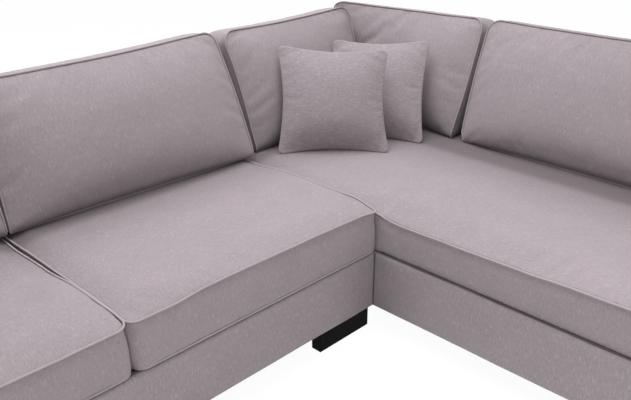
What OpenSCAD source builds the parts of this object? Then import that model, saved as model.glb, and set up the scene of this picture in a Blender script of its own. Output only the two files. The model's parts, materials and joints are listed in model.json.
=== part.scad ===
// Corner sofa: a two-seat left wing with an arm, joined at an inner corner to a
// right wing with one long seat and an open end. Loose box seat cushions, loose
// leaning back cushions, two knife-edge scatter cushions and black block feet.
// Everything is laid out from the inner corner of the base, then moved so that
// the origin is on the floor under the middle of the whole sofa.
// X runs along the left wing, +Y towards its back, Z up. Millimetres.

/* [Plan] */
// Width of one loose seat cushion on the left wing
seat_w = 940; // [750:1:1100]
// Seat depth in front of the back cushions on the left wing
seat_show_left = 660; // [580:1:780]
// Seat depth in front of the back cushions on the right wing
seat_show_right = 750; // [620:1:850]
// How far the right wing runs forward of the inner corner
wing_reach = 1000; // [900:1:1200]
// Set-back of the left wing's seat cushions behind the face of the base
setback_left = 3; // [1:0.5:20]
// Set-back of the right wing's seat cushion behind the face of the base
setback_right = 17; // [8:0.5:24]
// Set-back of the right wing's seat cushion at the open end
setback_end = 10; // [8:0.5:20]

/* [Heights] */
// Height of the feet
foot_h = 75; // [50:1:120]
// Height of the upholstered base above the feet
base_h = 205; // [180:1:240]
// Height of a seat cushion's side band
seat_t = 145; // [110:1:180]
// Crown of a seat cushion above its side band
seat_crown = 20; // [10:1:30]
// Height of the back frame above the seat deck
back_h = 540; // [480:1:620]

/* [Back cushions] */
// Height of a back cushion
bc_h = 455; // [380:1:520]
// Thickness of a back cushion from front to back
bc_t = 150; // [120:1:190]
// Crown of a back cushion's face
bc_crown = 32; // [15:1:45]
// Lean of the back from the vertical in degrees
lean = 18.4; // [10:0.1:22]
// How far the inner left back cushion reaches past the inner corner
bc_over = 23; // [10:1:60]
// Draw-in of that cushion's upper corner
bc_draw = 14; // [0:1:40]
// Bulge of that cushion's side at the inner corner
bc_side_bulge = 22; // [0:1:24]
// How much lower that cushion's top is at its outer end
bc_dip = 14; // [0:1:20]
// Distance from the inner corner to the left corner cushion
bc_corner_start = 68; // [60:1:90]
// How much lower the left corner cushion's top is at its outer end
bc_corner_dip = 9; // [0:1:14]
// How much higher the long back cushion's top is at its front end
bc_raise = 20; // [0:1:24]
// How far the foot of a back cushion's face stands forward
bc_step = 42; // [0:1:46]
// How far the upper end of the left corner cushion reaches out towards it
bc_flare = 24; // [0:1:40]
// Bulge of the long back cushion's ends
bc_end_bulge = 12; // [0:1:14]
// Fall of a back cushion's top from its face to its rear
bc_fall = 31; // [0:1:36]
// How far the right corner cushion's upper end stands forward of the lean
bc_twist = 105; // [0:1:115]
// Gap between neighbouring back cushions of one wing
bc_gap = 4; // [3:0.5:10]
// Gap between the two back cushions in the corner
bc_corner_gap = 7; // [3:0.5:8]
// Where the first cushion of the right wing starts, measured from the inner corner
bc_split = 216; // [150:1:300]
// Gap between the two back cushions of the right wing
bc_split_gap = 46; // [30:1:60]
// Length of the right wing's front back cushion
bc_long_w = 1114; // [950:1:1160]
// How far that cushion's upper end reaches out towards the corner
bc_long_flare = 26; // [0:1:32]

/* [Scatter cushions] */
// Side of a scatter cushion
scatter_w = 410; // [350:1:430]
// Thickness of a scatter cushion in its middle
scatter_t = 120; // [80:1:125]
// Lean of the front scatter cushion in degrees
scatter_lean = 25; // [20:0.5:25]
// Lean of the rear scatter cushion in degrees
scatter_rear_lean = 30; // [26:0.5:32]
// Turn of the front scatter cushion from the left wing's back in degrees
scatter_turn = 43.5; // [40:0.5:47]
// Turn of the rear scatter cushion in degrees
scatter_rear_turn = 58; // [54:0.5:60]
// Place of the front scatter cushion's foot along the left wing
scatter_x = 264; // [250:1:275]
// Place of the front scatter cushion's foot towards the back
scatter_y = 440; // [425:1:445]
// Place of the rear scatter cushion's foot along the left wing
scatter_rear_x = 485; // [480:1:500]
// Place of the rear scatter cushion's foot towards the back
scatter_rear_y = 427; // [424:1:440]

/* [Arm] */
// Width of the arm
arm_w = 200; // [150:1:260]
// Height of the arm above the floor
arm_h = 620; // [560:1:680]
// Thickness of the arm's front facing
facing_t = 12; // [8:0.5:16]

/* [Frame] */
// Thickness of the frame boards
board = 25; // [20:1:30]
// Thickness of the arm boards
arm_board = 18; // [15:1:22]
// Width of the back frame's top above the padding line
back_top_t = 65; // [60:1:80]
// Height of the tail rail along the bottom of the back
tail_h = 60; // [45:1:80]
// Height of the lumbar rail that holds the webbing
lumbar_h = 50; // [40:1:60]

/* [Upholstery] */
// Thickness of the fabric and wadding over the boards
skin = 6; // [4:0.5:8]
// Thickness of the padding on top of the arm and the back
top_pad = 25; // [18:0.5:32]
// Thickness of the padding on the inside of the back
back_pad = 25; // [18:0.5:32]
// Thickness of the seat deck over the springs
deck_t = 18; // [14:0.5:22]
// Width of the front cover's lip on the rail
lip = 22; // [16:0.5:24]
// Width of the cover turned under the base
turn_under = 52; // [50:0.5:60]
// Thickness of the cloth under the base
dust_t = 1.5; // [1:0.1:2]

/* [Springs and webbing] */
// Diameter of the spring wire
wire_d = 3.8; // [3:0.1:4.5]
// Width of a zigzag spring
spring_w = 100; // [90:1:110]
// Number of turns in a zigzag spring under the left wing
turns_left = 10; // [9:1:12]
// Number of turns in a zigzag spring under the right wing
turns_right = 11; // [10:1:13]
// Number of springs under the left wing
springs_left = 8; // [6:1:10]
// Number of springs under the right wing
springs_right = 7; // [5:1:8]
// Width of a webbing strap
strap_w = 50; // [40:1:60]
// Thickness of a webbing strap
strap_t = 1.5; // [1:0.1:2]
// Thickness of the steel of clips
clip_t = 1.5; // [1:0.1:2]

/* [Feet and fittings] */
// Length of a block foot
foot_l = 235; // [180:1:260]
// Thickness of a block foot
foot_t = 39; // [34:1:44]
// Set-back of the block feet behind the base
foot_in = 10; // [8:0.5:14]
// Diameter of the foot screws
screw_d = 8; // [6:0.5:9]
// Radius of a round support foot
support_r = 24; // [18:1:30]
// Thickness of the plates that join the two wings
plate_t = 3; // [2:0.5:4]
// Diameter of the joining screws
plate_screw_d = 5; // [4:0.5:6]

/* [Hidden] */

// Clearances
soft_gap = 0.3;
module_gap = 0.3;
seat_side_gap = 2;
corner_side_gap = 4;
screw_gap = 0.2;

// Colours
fabric = [0.66, 0.61, 0.62];
fabric_light = [0.72, 0.67, 0.68];
cloth_black = [0.10, 0.10, 0.11];
timber = [0.76, 0.62, 0.44];
steel = [0.62, 0.63, 0.65];
black_wood = [0.05, 0.05, 0.05];
foam = [0.93, 0.90, 0.80];

// Heights
z_rail0 = foot_h + skin;
z_deck = foot_h + base_h;
z_rail1 = z_deck - deck_t;
z_seat0 = z_deck + soft_gap;
z_seat1 = z_seat0 + seat_t;
z_bc = z_seat1 + seat_crown + soft_gap;
z_back = z_deck + back_h;
z_pad1 = z_back - top_pad;
z_post1 = z_pad1 - board;
z_wire = z_rail1 - 4.5;
z_cross1 = z_rail1 - 24;
k = tan(lean);

// Plan of the back: the padding line at the seat and at the top
y_back = seat_show_left + bc_t;
x_back = seat_show_right + bc_t;
rise = round((z_back - z_bc) * k * 10) / 10;
depth_left = y_back + rise + back_top_t;
depth_right = x_back + rise + back_top_t;

// Plan of the left wing
x_inner1 = setback_right - corner_side_gap;
x_inner0 = x_inner1 - seat_w;
x_outer1 = x_inner0 - seat_side_gap;
x_outer0 = x_outer1 - seat_w;
x_arm1 = x_outer0 - seat_side_gap;
x_arm0 = x_arm1 - arm_w;
x_left1 = -module_gap;

// The rear seat rails, from the padding line backwards
rear_rail0 = back_pad + strap_t - board;
rear_rail1 = back_pad + strap_t;

// Middle of the whole sofa on the floor
x_mid = (x_arm0 + depth_right) / 2;
y_mid = (depth_left - wing_reach) / 2;

// Moves a piece from the inner corner's frame to the sofa's own frame
module placed() {
    translate([-x_mid, -y_mid, 0]) children();
}

// Unit vector, and the points that round one corner of an outline
function unit(v) = v / norm(v);
function corner_arc(a, b, c, r, n) =
    let (u = unit(a - b), v = unit(c - b), half = acos(u * v) / 2)
    let (centre = b + unit(u + v) * r / sin(half))
    let (p0 = b + u * r / tan(half) - centre, p1 = b + v * r / tan(half) - centre)
    let (a0 = atan2(p0.y, p0.x), turn = atan2(p1.y, p1.x) - a0)
    let (sweep = turn > 180 ? turn - 360 : turn < -180 ? turn + 360 : turn)
    [for (i = [0:n]) centre + r * [cos(a0 + sweep * i / n), sin(a0 + sweep * i / n)]];

// An outline with each corner rounded by its own radius
function rounded(pts, radii, n = 5) =
    let (m = len(pts))
    [for (i = [0:m - 1])
        each radii[i] == 0 ? [pts[i]]
            : corner_arc(pts[(i + m - 1) % m], pts[i], pts[(i + 1) % m], radii[i], n)];

// A box from its low corner to its high corner
module span(lo, hi) {
    translate(lo) cube(hi - lo);
}

// A section drawn in depth and height, run along the left wing from x0 to x1
module along_x(x0, x1) {
    translate([x0, 0, 0]) rotate([90, 0, 90]) linear_extrude(x1 - x0) children();
}

// A section drawn in depth and height, run along the right wing from y0 to y1
module along_y(y0, y1) {
    translate([0, y1, 0]) rotate([90, 0, 0]) linear_extrude(y1 - y0) children();
}

// Depth behind the padding line at height z
function recline(z) = z > z_bc ? (z - z_bc) * k : 0;

// Base of a wing

// Front cover: face, lip on top of the rail and the turn under the base
module front_cover_section() {
    difference() {
        polygon(rounded([[0, foot_h], [turn_under, foot_h], [turn_under, z_deck], [0, z_deck]],
            [6, 0, 0, 12]));
        polygon([[skin, z_rail0], [turn_under + 1, z_rail0], [turn_under + 1, z_deck + 1],
            [lip, z_deck + 1], [lip, z_rail1], [skin, z_rail1]]);
    }
}

module front_rail_section() {
    polygon([[skin, z_rail0], [skin + board, z_rail0], [skin + board, z_rail1], [skin, z_rail1]]);
}

// Rear seat rail under the padding line at depth d
module rear_rail_section(d) {
    translate([d + rear_rail0, z_rail0]) square([board, z_rail1 - z_rail0]);
}

// Back of a wing, all sections from the padding line at depth 0

// Padding on the inside of the back
module back_pad_section() {
    top = recline(z_pad1);
    polygon([[0, z_rail1], [back_pad, z_rail1], [back_pad, z_bc], [back_pad + top, z_pad1],
        [top, z_pad1], [0, z_bc]]);
}

// Everything in front of the padding line, used to mitre the corner
module front_of_back_section(reach) {
    high = z_back + 100;
    polygon([[-reach, -100], [0, -100], [0, z_bc], [recline(high), high], [-reach, high]]);
}

// Elastic webbing behind the padding
module strap_section() {
    z0 = z_rail1 + 8;
    z1 = z_pad1 - 5;
    front = back_pad;
    polygon([[front, z0], [front + strap_t, z0], [front + strap_t, z_bc],
        [front + strap_t + recline(z1), z1], [front + recline(z1), z1], [front, z_bc]]);
}

// Post with a front edge that follows the lean and a notch for the tail rail
module post_section(rear) {
    front = rear_rail1;
    polygon([[front, z_rail0], [rear - board, z_rail0], [rear - board, z_rail0 + tail_h],
        [rear, z_rail0 + tail_h], [rear, z_post1], [front + recline(z_post1), z_post1],
        [front, z_bc]]);
}

// Flat rail on top of the posts
module top_rail_section(rear) {
    front = rear_rail1 + recline(z_pad1);
    polygon([[front, z_post1], [rear, z_post1], [rear, z_pad1], [front, z_pad1]]);
}

module tail_rail_section(rear) {
    translate([rear - board, z_rail0]) square([board, tail_h]);
}

// Rail between the posts that holds the lower ends of the webbing
module lumbar_rail_section() {
    translate([rear_rail1, z_rail1 + 8]) square([board, lumbar_h]);
}

// Rear cover: padded top, rear face and the turn under the base
module back_cover_section(rear) {
    top = recline(z_back);
    edge = recline(z_pad1);
    difference() {
        polygon(rounded([[edge, z_pad1], [top, z_back], [rear, z_back], [rear, foot_h],
            [rear - turn_under, foot_h], [rear - turn_under, z_pad1]], [0, 16, 20, 6, 0, 0]));
        polygon([[rear - skin, z_pad1], [rear - skin, z_rail0], [rear - turn_under - 1, z_rail0],
            [rear - turn_under - 1, z_pad1]]);
    }
}

// Outline of the whole back, for the plates that close its ends
module back_end_section(rear, z0) {
    polygon(rounded([[0, z0], [rear, z0], [rear, z_back], [recline(z_back), z_back], [0, z_bc]],
        [0, 0, 20, 16, 0]));
}

// Zigzag springs

// One spring in the XY plane, its first bar on the X axis, its last at Y = pitch * turns
module zigzag_spring(pitch, turns) {
    bend = pitch / 2;
    half_bar = spring_w / 2 - bend;
    for (i = [0:turns]) {
        side = i % 2 == 0 ? 1 : -1;
        translate([0, i * pitch, 0]) rotate([0, 90, 0])
            cylinder(h = 2 * half_bar, d = wire_d, center = true, $fn = 24);
        if (i < turns) {
            translate([side * half_bar, (i + 0.5) * pitch, 0]) rotate([0, 0, side > 0 ? -90 : 90])
                rotate_extrude(angle = 180, $fn = 48)
                    translate([bend, 0]) circle(d = wire_d, $fn = 24);
        }
    }
}

// The bar of a spring lies in the eye of a clip; the pitch is a round number
eye_r = wire_d / 2 + screw_gap;
eye_least = 2 * clip_t + eye_r;
function spring_room(back) = back + rear_rail0 - skin - board;
function spring_pitch(room, turns) = floor((room - 2 * eye_least) / turns * 5) / 5;
function eye_at(room, turns) = (room - turns * spring_pitch(room, turns)) / 2;
room_left = spring_room(y_back);
room_right = spring_room(x_back);
pitch_left = spring_pitch(room_left, turns_left);
pitch_right = spring_pitch(room_right, turns_right);
eye_left = eye_at(room_left, turns_left);
eye_right = eye_at(room_right, turns_right);

// Clip: a plate on the rail's face with an eye round the end bar, the rail at Y = 0
clip_w = 12;
module spring_clip(eye) {
    difference() {
        union() {
            translate([-clip_w, 0, -18]) cube([2 * clip_w, clip_t, 21]);
            translate([-clip_w / 2, 0, -eye_r - clip_t + 0.5])
                cube([clip_w, eye, 2 * (eye_r + clip_t) - 1]);
            translate([0, eye, 0]) rotate([0, 90, 0])
                cylinder(h = clip_w, r = eye_r + clip_t, center = true, $fn = 32);
        }
        translate([0, eye, 0]) rotate([0, 90, 0])
            cylinder(h = clip_w + 1, r = eye_r, center = true, $fn = 32);
    }
}

// Where the springs lie: a row of places along each wing
function row_of(n, lo, hi) = [for (i = [0:n - 1]) lo + (hi - lo) * (i + 0.5) / n];
left_spring_x = row_of(springs_left, x_arm1 + board, -board);
right_spring_y = row_of(springs_right, -wing_reach + skin + board, y_back);

// Feet and their screws, from the inner corner

// A block foot lies along X or along Y; each entry is its low corner and its direction
foot_run = foot_l + 14;
left_feet = [
    [-foot_run, foot_in, "x"],
    [x_arm0 + 14, foot_in, "x"],
    [x_arm0 + 14, depth_left - foot_in - foot_t, "x"],
    [-foot_run, depth_left - foot_in - foot_t, "x"]
];
right_feet = [
    [foot_in, -wing_reach + 14, "y"],
    [depth_right - foot_in - foot_t, -wing_reach + 14, "y"],
    [depth_right - foot_run, depth_left - foot_in - foot_t, "x"]
];
all_feet = concat(left_feet, right_feet);
// The screws stand in the middle of the boards above each foot
front_line = skin + board / 2;
function screw_line(lo, high_side) = high_side ? lo - skin - board / 2 : front_line;
function foot_screw_places(f) =
    let (a = foot_l / 2 - 80, b = foot_l / 2 + 80)
    f[2] == "x"
        ? let (y = f.y < 0 || f.y > depth_left / 2 ? screw_line(depth_left, true) : front_line)
            [[f.x + a, y], [f.x + b, y]]
        : let (x = f.x > depth_right / 2 ? screw_line(depth_right, true) : front_line)
            [[x, f.y + a], [x, f.y + b]];
block_screws = [for (f = all_feet) each foot_screw_places(f)];

// Cross rails of both wings, and the support feet under them
left_cross_x = [x_arm1 + module_gap, (x_outer1 + x_inner0 - board) / 2, x_left1 - board];
right_cross_y = [-wing_reach + skin, -wing_reach / 3, wing_reach / 6];
support_places = [
    [left_cross_x[1] + board / 2, y_back / 2],
    [x_back / 2, right_cross_y[1] + board / 2],
    [x_back / 4, right_cross_y[2] + board / 2],
    [x_back * 0.8, right_cross_y[2] + board / 2]
];
screw_z0 = foot_h - 40;
screw_z1 = z_rail0 + 17;

// Holes for the foot screws, taken out of whatever they pass through
module screw_holes(places) {
    for (p = places) {
        translate([p.x, p.y, screw_z0 - screw_gap])
            cylinder(h = screw_z1 - screw_z0 + 2 * screw_gap, d = screw_d + 2 * screw_gap, $fn = 32);
    }
}

// A block foot with its screw holes and broken lower edges
module block_foot(f) {
    size = f[2] == "x" ? [foot_l, foot_t] : [foot_t, foot_l];
    difference() {
        union() {
            translate([f.x, f.y, 2]) cube([size.x, size.y, foot_h - 2]);
            translate([f.x + 2, f.y + 2, 0]) cube([size.x - 4, size.y - 4, 2]);
        }
        screw_holes(foot_screw_places(f));
    }
}

// Cushion forms

// Points of a rounded rectangle, counter-clockwise, with sides drawn in between the corners
arc_n = 3;
function arc_points(c, r, a0) =
    [for (i = [0:arc_n]) c + r * [cos(a0 + 90 * i / arc_n), sin(a0 + 90 * i / arc_n)]];
function side_points(p, q, n, inward, pull) =
    [for (i = [1:n - 1]) p + (q - p) * i / n + inward * pull * sin(180 * i / n)];
function outline(w, h, r, pull, nx, ny, base_pull, left_pull, right_pull) =
    let (a = w / 2, b = h / 2, c = a - r, d = b - r)
    concat(
        arc_points([c, d], r, 0), side_points([c, b], [-c, b], nx, [0, -1], pull),
        arc_points([-c, d], r, 90), side_points([-a, d], [-a, -d], ny, [1, 0], left_pull),
        arc_points([-c, -d], r, 180), side_points([-c, -b], [c, -b], nx, [0, 1], base_pull),
        arc_points([c, -d], r, 270), side_points([a, -d], [a, d], ny, [-1, 0], right_pull));

// A closed skin through a stack of rings, with a point at each end
module loft(low, rings, high) {
    n = len(rings[0]);
    m = len(rings);
    points = concat([low], [for (ring = rings) each ring], [high]);
    last = n * m + 1;
    faces = concat(
        [for (j = [0:n - 1]) [0, 1 + j, 1 + (j + 1) % n]],
        [for (i = [0:m - 2], j = [0:n - 1]) each
            let (a = 1 + i * n + j, b = 1 + i * n + (j + 1) % n)
            [[a, a + n, b + n], [a, b + n, b]]],
        [for (j = [0:n - 1])
            let (a = 1 + (m - 1) * n + j, b = 1 + (m - 1) * n + (j + 1) % n)
            [last, b, a]]);
    polyhedron(points, faces, convexity = 4);
}

// Height of a crown at a distance d in from the edge, full from distance reach on
function crown_at(d, reach, high) = high * (1 - pow(1 - min(d / reach, 1), 2.2));

// Box seat cushion on the deck: a straight side band, drawn in a little between the
// corners, and a crowned top. Its plan box runs from lo to hi.
seat_r = 32;
seat_pull = 5;
seat_bulge = 2.5;
crown_reach = 150;
module seat_form(lo, hi, nx, ny) {
    w = hi.x - lo.x;
    d = hi.y - lo.y;
    function ring(inset, z, bow) =
        let (r = max(seat_r - inset * 0.6, 8), fade = 1 - min(inset / crown_reach, 1))
        let (pull = (seat_pull - bow) * fade)
        [for (p = outline(w - 2 * inset, d - 2 * inset, r, pull, nx, ny, pull, pull, pull))
            [p.x, p.y, z]];
    rings = concat(
        [ring(6, 0, 0), ring(0, 6, 0), ring(0, seat_t / 2, seat_bulge), ring(0, seat_t - 5, 0)],
        [for (inset = [5, 22, 50, 90, crown_reach])
            ring(inset, seat_t + crown_at(inset, crown_reach, seat_crown) - (inset < 6 ? 1 : 0), 0)]);
    translate([(lo.x + hi.x) / 2, (lo.y + hi.y) / 2, z_seat0])
        loft([0, 0, 0], rings, [0, 0, seat_t + seat_crown]);
}

// The foam block inside a seat cushion, and the room for it in the wrap
wrap_t = 22;
module seat_core_box(lo, hi, grow) {
    span([lo.x + wrap_t - grow, lo.y + wrap_t - grow, z_seat0 + wrap_t - grow],
        [hi.x - wrap_t + grow, hi.y - wrap_t + grow, z_seat1 - wrap_t + grow]);
}

// Back cushion, drawn standing with its face towards -Y and its foot at z_bc.
// It leans back by k and its top falls towards the rear. The side at +X can be drawn in
// at the top and the side at -X can flare out there. The side at -X can also follow a
// wall that leans by the same amount, and then its upper end stands forward. Each end
// has its own rise of the top and its own share of the forward foot.
bc_r = 48;
bc_edge_r = 14;
bc_pull = 7;
function ease(t) = let (c = max(0, min(t / 0.95, 1))) c * c * (3 - 2 * c);
module back_form(x0, x1, step, turn = 1, tops = [0, 0], top_draw = 0, left_wall = 0, flare = 0,
        left_pull = bc_pull, right_pull = bc_pull) {
    w = x1 - x0;
    cx = (x0 + x1) / 2;
    function place(p, y) =
        let (up = p.y / bc_h + 0.5, right = max(p.x / w * 2, 0), left = max(-p.x / w * 2, 0))
        let (s = p.x / w + 0.5, rear = max(y / bc_t, 0))
        let (top = tops[0] + (tops[1] - tops[0]) * s)
        let (foot = step[0] + (step[1] - step[0]) * pow(max(s, 0), turn))
        let (height = p.y + bc_h / 2 + (top - bc_fall * rear) * up)
        [cx + p.x - top_draw * right * ease(up) - (left_wall * k * height + flare * up) * left,
            y + k * height - left_wall * bc_twist * left * up * up
                - bc_step * foot * (1 - up) * (1 - rear), z_bc + height];
    function ring(inset, y) =
        let (r = max(bc_r - inset * 0.5, 10), fade = 1 - min(inset / crown_reach, 1))
        [for (p = outline(w - 2 * inset, bc_h - 2 * inset, r, bc_pull * fade, 8, 5, 0,
            left_pull * fade, right_pull * fade)) place(p, y)];
    crown_rings = [for (inset = [crown_reach, 95, 55, 25, 8])
        ring(inset, -crown_at(inset, crown_reach, bc_crown))];
    rings = concat([ring(bc_edge_r, bc_t - soft_gap), ring(0, bc_t - bc_edge_r), ring(0, bc_t / 2),
        ring(0, 5)], [for (i = [len(crown_rings) - 1:-1:0]) crown_rings[i]]);
    loft(place([0, 0], bc_t - soft_gap), rings, place([0, 0], -bc_crown));
}

// Knife-edge scatter cushion, standing on its lower ears at the origin, face towards -Y
scatter_pull = 16;
scatter_r = 9;
function scatter_ring(inset, side) =
    let (w = scatter_w - 2 * inset, r = max(scatter_r - inset * 0.2, 5))
    let (pull = scatter_pull * (1 - min(inset / (scatter_w / 2), 1)))
    [for (p = outline(w, w, r, pull, 5, 5, pull, pull, pull))
        [p.x, side * crown_at(inset, scatter_w / 2, scatter_t / 2), p.y + scatter_w / 2]];
module scatter_form() {
    insets = [14, 40, 80, 125];
    rings = concat([for (i = [len(insets) - 1:-1:0]) scatter_ring(insets[i], 1)],
        [scatter_ring(0, 1)], [for (inset = insets) scatter_ring(inset, -1)]);
    loft([0, scatter_t / 2, scatter_w / 2], rings, [0, -scatter_t / 2, scatter_w / 2]);
}

// A scatter cushion stands at a point on the seat, turned and leaning
module scatter_at(x, y, turn, tilt) {
    translate([x, y, z_bc]) rotate([0, 0, turn]) rotate([-tilt, 0, 0])
        scatter_form();
}

// Left wing: base and back frame

module left_front_rail() {
    color(timber) placed() difference() {
        along_x(x_arm1 + module_gap, x_left1) front_rail_section();
        screw_holes(block_screws);
    }
}

module left_rear_rail() {
    color(timber) placed()
        along_x(x_arm1 + module_gap, x_left1) rear_rail_section(y_back);
}

module left_cross_rails() {
    color(timber) placed() difference() {
        for (x = left_cross_x) {
            span([x, skin + board, z_rail0], [x + board, y_back + rear_rail0, z_cross1]);
        }
        screw_holes(support_places);
        screw_holes_plates();
    }
}

left_post_x = [x_arm1 + skin + module_gap, x_outer1 - board / 2, x_left1 - board];
module left_back_posts() {
    color(timber) placed() for (x = left_post_x) {
        along_x(x, x + board) translate([y_back, 0]) post_section(depth_left - skin - y_back);
    }
}

module left_top_rail() {
    color(timber) placed() along_x(left_post_x[0], x_left1)
        translate([y_back, 0]) top_rail_section(depth_left - skin - y_back);
}

module left_tail_rail() {
    color(timber) placed() difference() {
        along_x(left_post_x[0], x_left1)
            translate([y_back, 0]) tail_rail_section(depth_left - skin - y_back);
        screw_holes(block_screws);
    }
}

module left_lumbar_rails() {
    color(timber) placed() for (i = [0:1]) {
        along_x(left_post_x[i] + board, left_post_x[i + 1])
            translate([y_back, 0]) lumbar_rail_section();
    }
}

module left_springs() {
    color(steel) placed() for (x = left_spring_x) {
        translate([x, skin + board + eye_left, z_wire]) zigzag_spring(pitch_left, turns_left);
    }
}

strap_pitch_n = 5;
left_strap_x = [for (i = [0:1]) each
    row_of(strap_pitch_n, left_post_x[i] + board, left_post_x[i + 1])];
module left_webbing() {
    color(cloth_black) placed() for (x = left_strap_x) {
        along_x(x - strap_w / 2, x + strap_w / 2) translate([y_back, 0]) strap_section();
    }
}

// Left wing: upholstery

module left_deck_pad() {
    color(cloth_black) placed() span([x_arm1 + module_gap, lip + soft_gap, z_rail1],
        [x_left1, y_back - soft_gap, z_deck]);
}

module left_dust_cover() {
    color(cloth_black) placed() difference() {
        span([x_arm1 + module_gap, turn_under + soft_gap, z_rail0 - dust_t],
            [x_left1 - board - 1, depth_left - turn_under - soft_gap, z_rail0]);
        screw_holes(support_places);
    }
}

module left_front_cover() {
    color(fabric) placed() difference() {
        along_x(x_arm1 + module_gap, x_left1) front_cover_section();
        screw_holes(block_screws);
    }
}

module left_back_pad() {
    color(fabric) placed() along_x(left_post_x[0], x_left1)
        translate([y_back, 0]) back_pad_section();
}

module left_back_cover() {
    color(fabric) placed() difference() {
        along_x(left_post_x[0], x_left1)
            translate([y_back, 0]) back_cover_section(depth_left - y_back);
        screw_holes(block_screws);
    }
}

module left_back_end_cover() {
    color(fabric) placed() along_x(x_arm1 + module_gap, left_post_x[0])
        translate([y_back, 0]) back_end_section(depth_left - y_back, z_rail1);
}

// Arm

arm_in0 = x_arm0 + skin;
arm_in1 = x_arm1 - skin;
z_arm_board1 = arm_h - top_pad;
arm_y1 = depth_left - skin;
module arm_frame_boards() {
    side_top = z_arm_board1 - arm_board;
    color(timber) placed() difference() {
        union() {
            // Side boards
            span([arm_in0, facing_t, foot_h + board], [arm_in0 + arm_board, arm_y1, side_top]);
            span([arm_in1 - arm_board, facing_t, foot_h + board], [arm_in1, arm_y1, side_top]);
            // Top and bottom boards
            span([arm_in0, facing_t, side_top], [arm_in1, arm_y1, z_arm_board1]);
            span([arm_in0, facing_t, foot_h], [arm_in1, arm_y1, foot_h + board]);
            // Blocks between the side boards
            for (y = [facing_t, (facing_t + arm_y1 - board) / 2, arm_y1 - board]) {
                span([arm_in0 + arm_board, y, foot_h + board],
                    [arm_in1 - arm_board, y + board, side_top]);
            }
        }
        screw_holes(block_screws);
    }
}

module arm_cover() {
    w = arm_w;
    color(fabric) placed() translate([x_arm0, 0, 0]) along_y(facing_t, arm_y1) difference() {
        polygon(rounded([[0, foot_h], [w, foot_h], [w, arm_h], [0, arm_h]], [0, 0, 22, 22]));
        polygon([[skin, foot_h - 1], [w - skin, foot_h - 1], [w - skin, z_arm_board1],
            [skin, z_arm_board1]]);
    }
}

module arm_facing(y0, y1) {
    w = arm_w;
    translate([x_arm0, 0, 0]) along_y(y0, y1)
        polygon(rounded([[0, foot_h], [w, foot_h], [w, arm_h], [0, arm_h]], [4, 4, 22, 22]));
}

module arm_front_facing() {
    color(fabric) placed() difference() {
        arm_facing(0, facing_t);
        screw_holes(block_screws);
    }
}

module arm_rear_facing() {
    color(fabric) placed() arm_facing(arm_y1, depth_left);
}

// Right wing: base and back frame

right_y0 = -wing_reach + skin;
right_y1 = depth_left - skin;
right_cover_y1 = 40;
module right_front_rail() {
    color(timber) placed() difference() {
        along_y(right_y0, right_y1) front_rail_section();
        screw_holes(block_screws);
        screw_holes_plates();
    }
}

module right_rear_rail() {
    color(timber) placed()
        along_y(right_y0, y_back + rear_rail1) rear_rail_section(x_back);
}

module right_cross_rails() {
    color(timber) placed() difference() {
        union() {
            for (y = right_cross_y) {
                span([skin + board, y, z_rail0], [x_back + rear_rail0, y + board, z_cross1]);
            }
            span([skin + board, y_back + rear_rail0, z_rail0],
                [x_back + rear_rail0, y_back + rear_rail1, z_rail1]);
        }
        screw_holes(support_places);
    }
}

right_post_y = [right_y0, -wing_reach / 2, 0, (y_back - board) / 2, right_y1 - board];
module right_back_posts() {
    color(timber) placed() difference() {
        for (y = right_post_y) {
            along_y(y, y + board) translate([x_back, 0]) post_section(depth_right - skin - x_back);
        }
        screw_holes(block_screws);
    }
}

module right_top_rail() {
    color(timber) placed() along_y(right_y0, right_y1)
        translate([x_back, 0]) top_rail_section(depth_right - skin - x_back);
}

module right_tail_rail() {
    color(timber) placed() difference() {
        along_y(right_y0, right_y1)
            translate([x_back, 0]) tail_rail_section(depth_right - skin - x_back);
        screw_holes(block_screws);
    }
}

module right_lumbar_rails() {
    color(timber) placed() for (i = [0:2]) {
        along_y(right_post_y[i] + board, right_post_y[i + 1])
            translate([x_back, 0]) lumbar_rail_section();
    }
}

module right_springs() {
    color(steel) placed() for (y = right_spring_y) {
        translate([skin + board + eye_right, y, z_wire]) rotate([0, 0, -90])
            zigzag_spring(pitch_right, turns_right);
    }
}

right_strap_y = [for (i = [0:2]) each
    row_of(3, right_post_y[i] + board, right_post_y[i + 1])];
corner_post_x = [skin + board, x_back / 2, x_back - board];
corner_strap_x = [for (i = [0:1]) each
    row_of(3, corner_post_x[i] + board, corner_post_x[i + 1])];
module right_webbing() {
    color(cloth_black) placed() {
        for (y = right_strap_y) {
            along_y(y - strap_w / 2, y + strap_w / 2) translate([x_back, 0]) strap_section();
        }
        for (x = corner_strap_x) {
            along_x(x - strap_w / 2, x + strap_w / 2) translate([y_back, 0]) strap_section();
        }
    }
}

// Right wing: upholstery

module right_deck_pad() {
    color(cloth_black) placed() span([lip + soft_gap, right_y0, z_rail1],
        [x_back - soft_gap, y_back - soft_gap, z_deck]);
}

module right_dust_cover() {
    color(cloth_black) placed() difference() {
        union() {
            span([turn_under + soft_gap, right_y0, z_rail0 - dust_t],
                [depth_right - turn_under - soft_gap, depth_left - turn_under - soft_gap, z_rail0]);
            span([skin + board + 1, right_cover_y1 + soft_gap, z_rail0 - dust_t],
                [turn_under + 2, depth_left - turn_under - soft_gap, z_rail0]);
        }
        screw_holes(support_places);
    }
}

module right_front_cover() {
    color(fabric) placed() difference() {
        along_y(right_y0, right_cover_y1) front_cover_section();
        screw_holes(block_screws);
    }
}

module right_back_pad() {
    color(fabric) placed() along_y(right_y0, right_y1)
        translate([x_back, 0]) back_pad_section();
}

module right_back_cover() {
    color(fabric) placed() difference() {
        along_y(right_y0, right_y1)
            translate([x_back, 0]) back_cover_section(depth_right - x_back);
        screw_holes(block_screws);
    }
}

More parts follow.
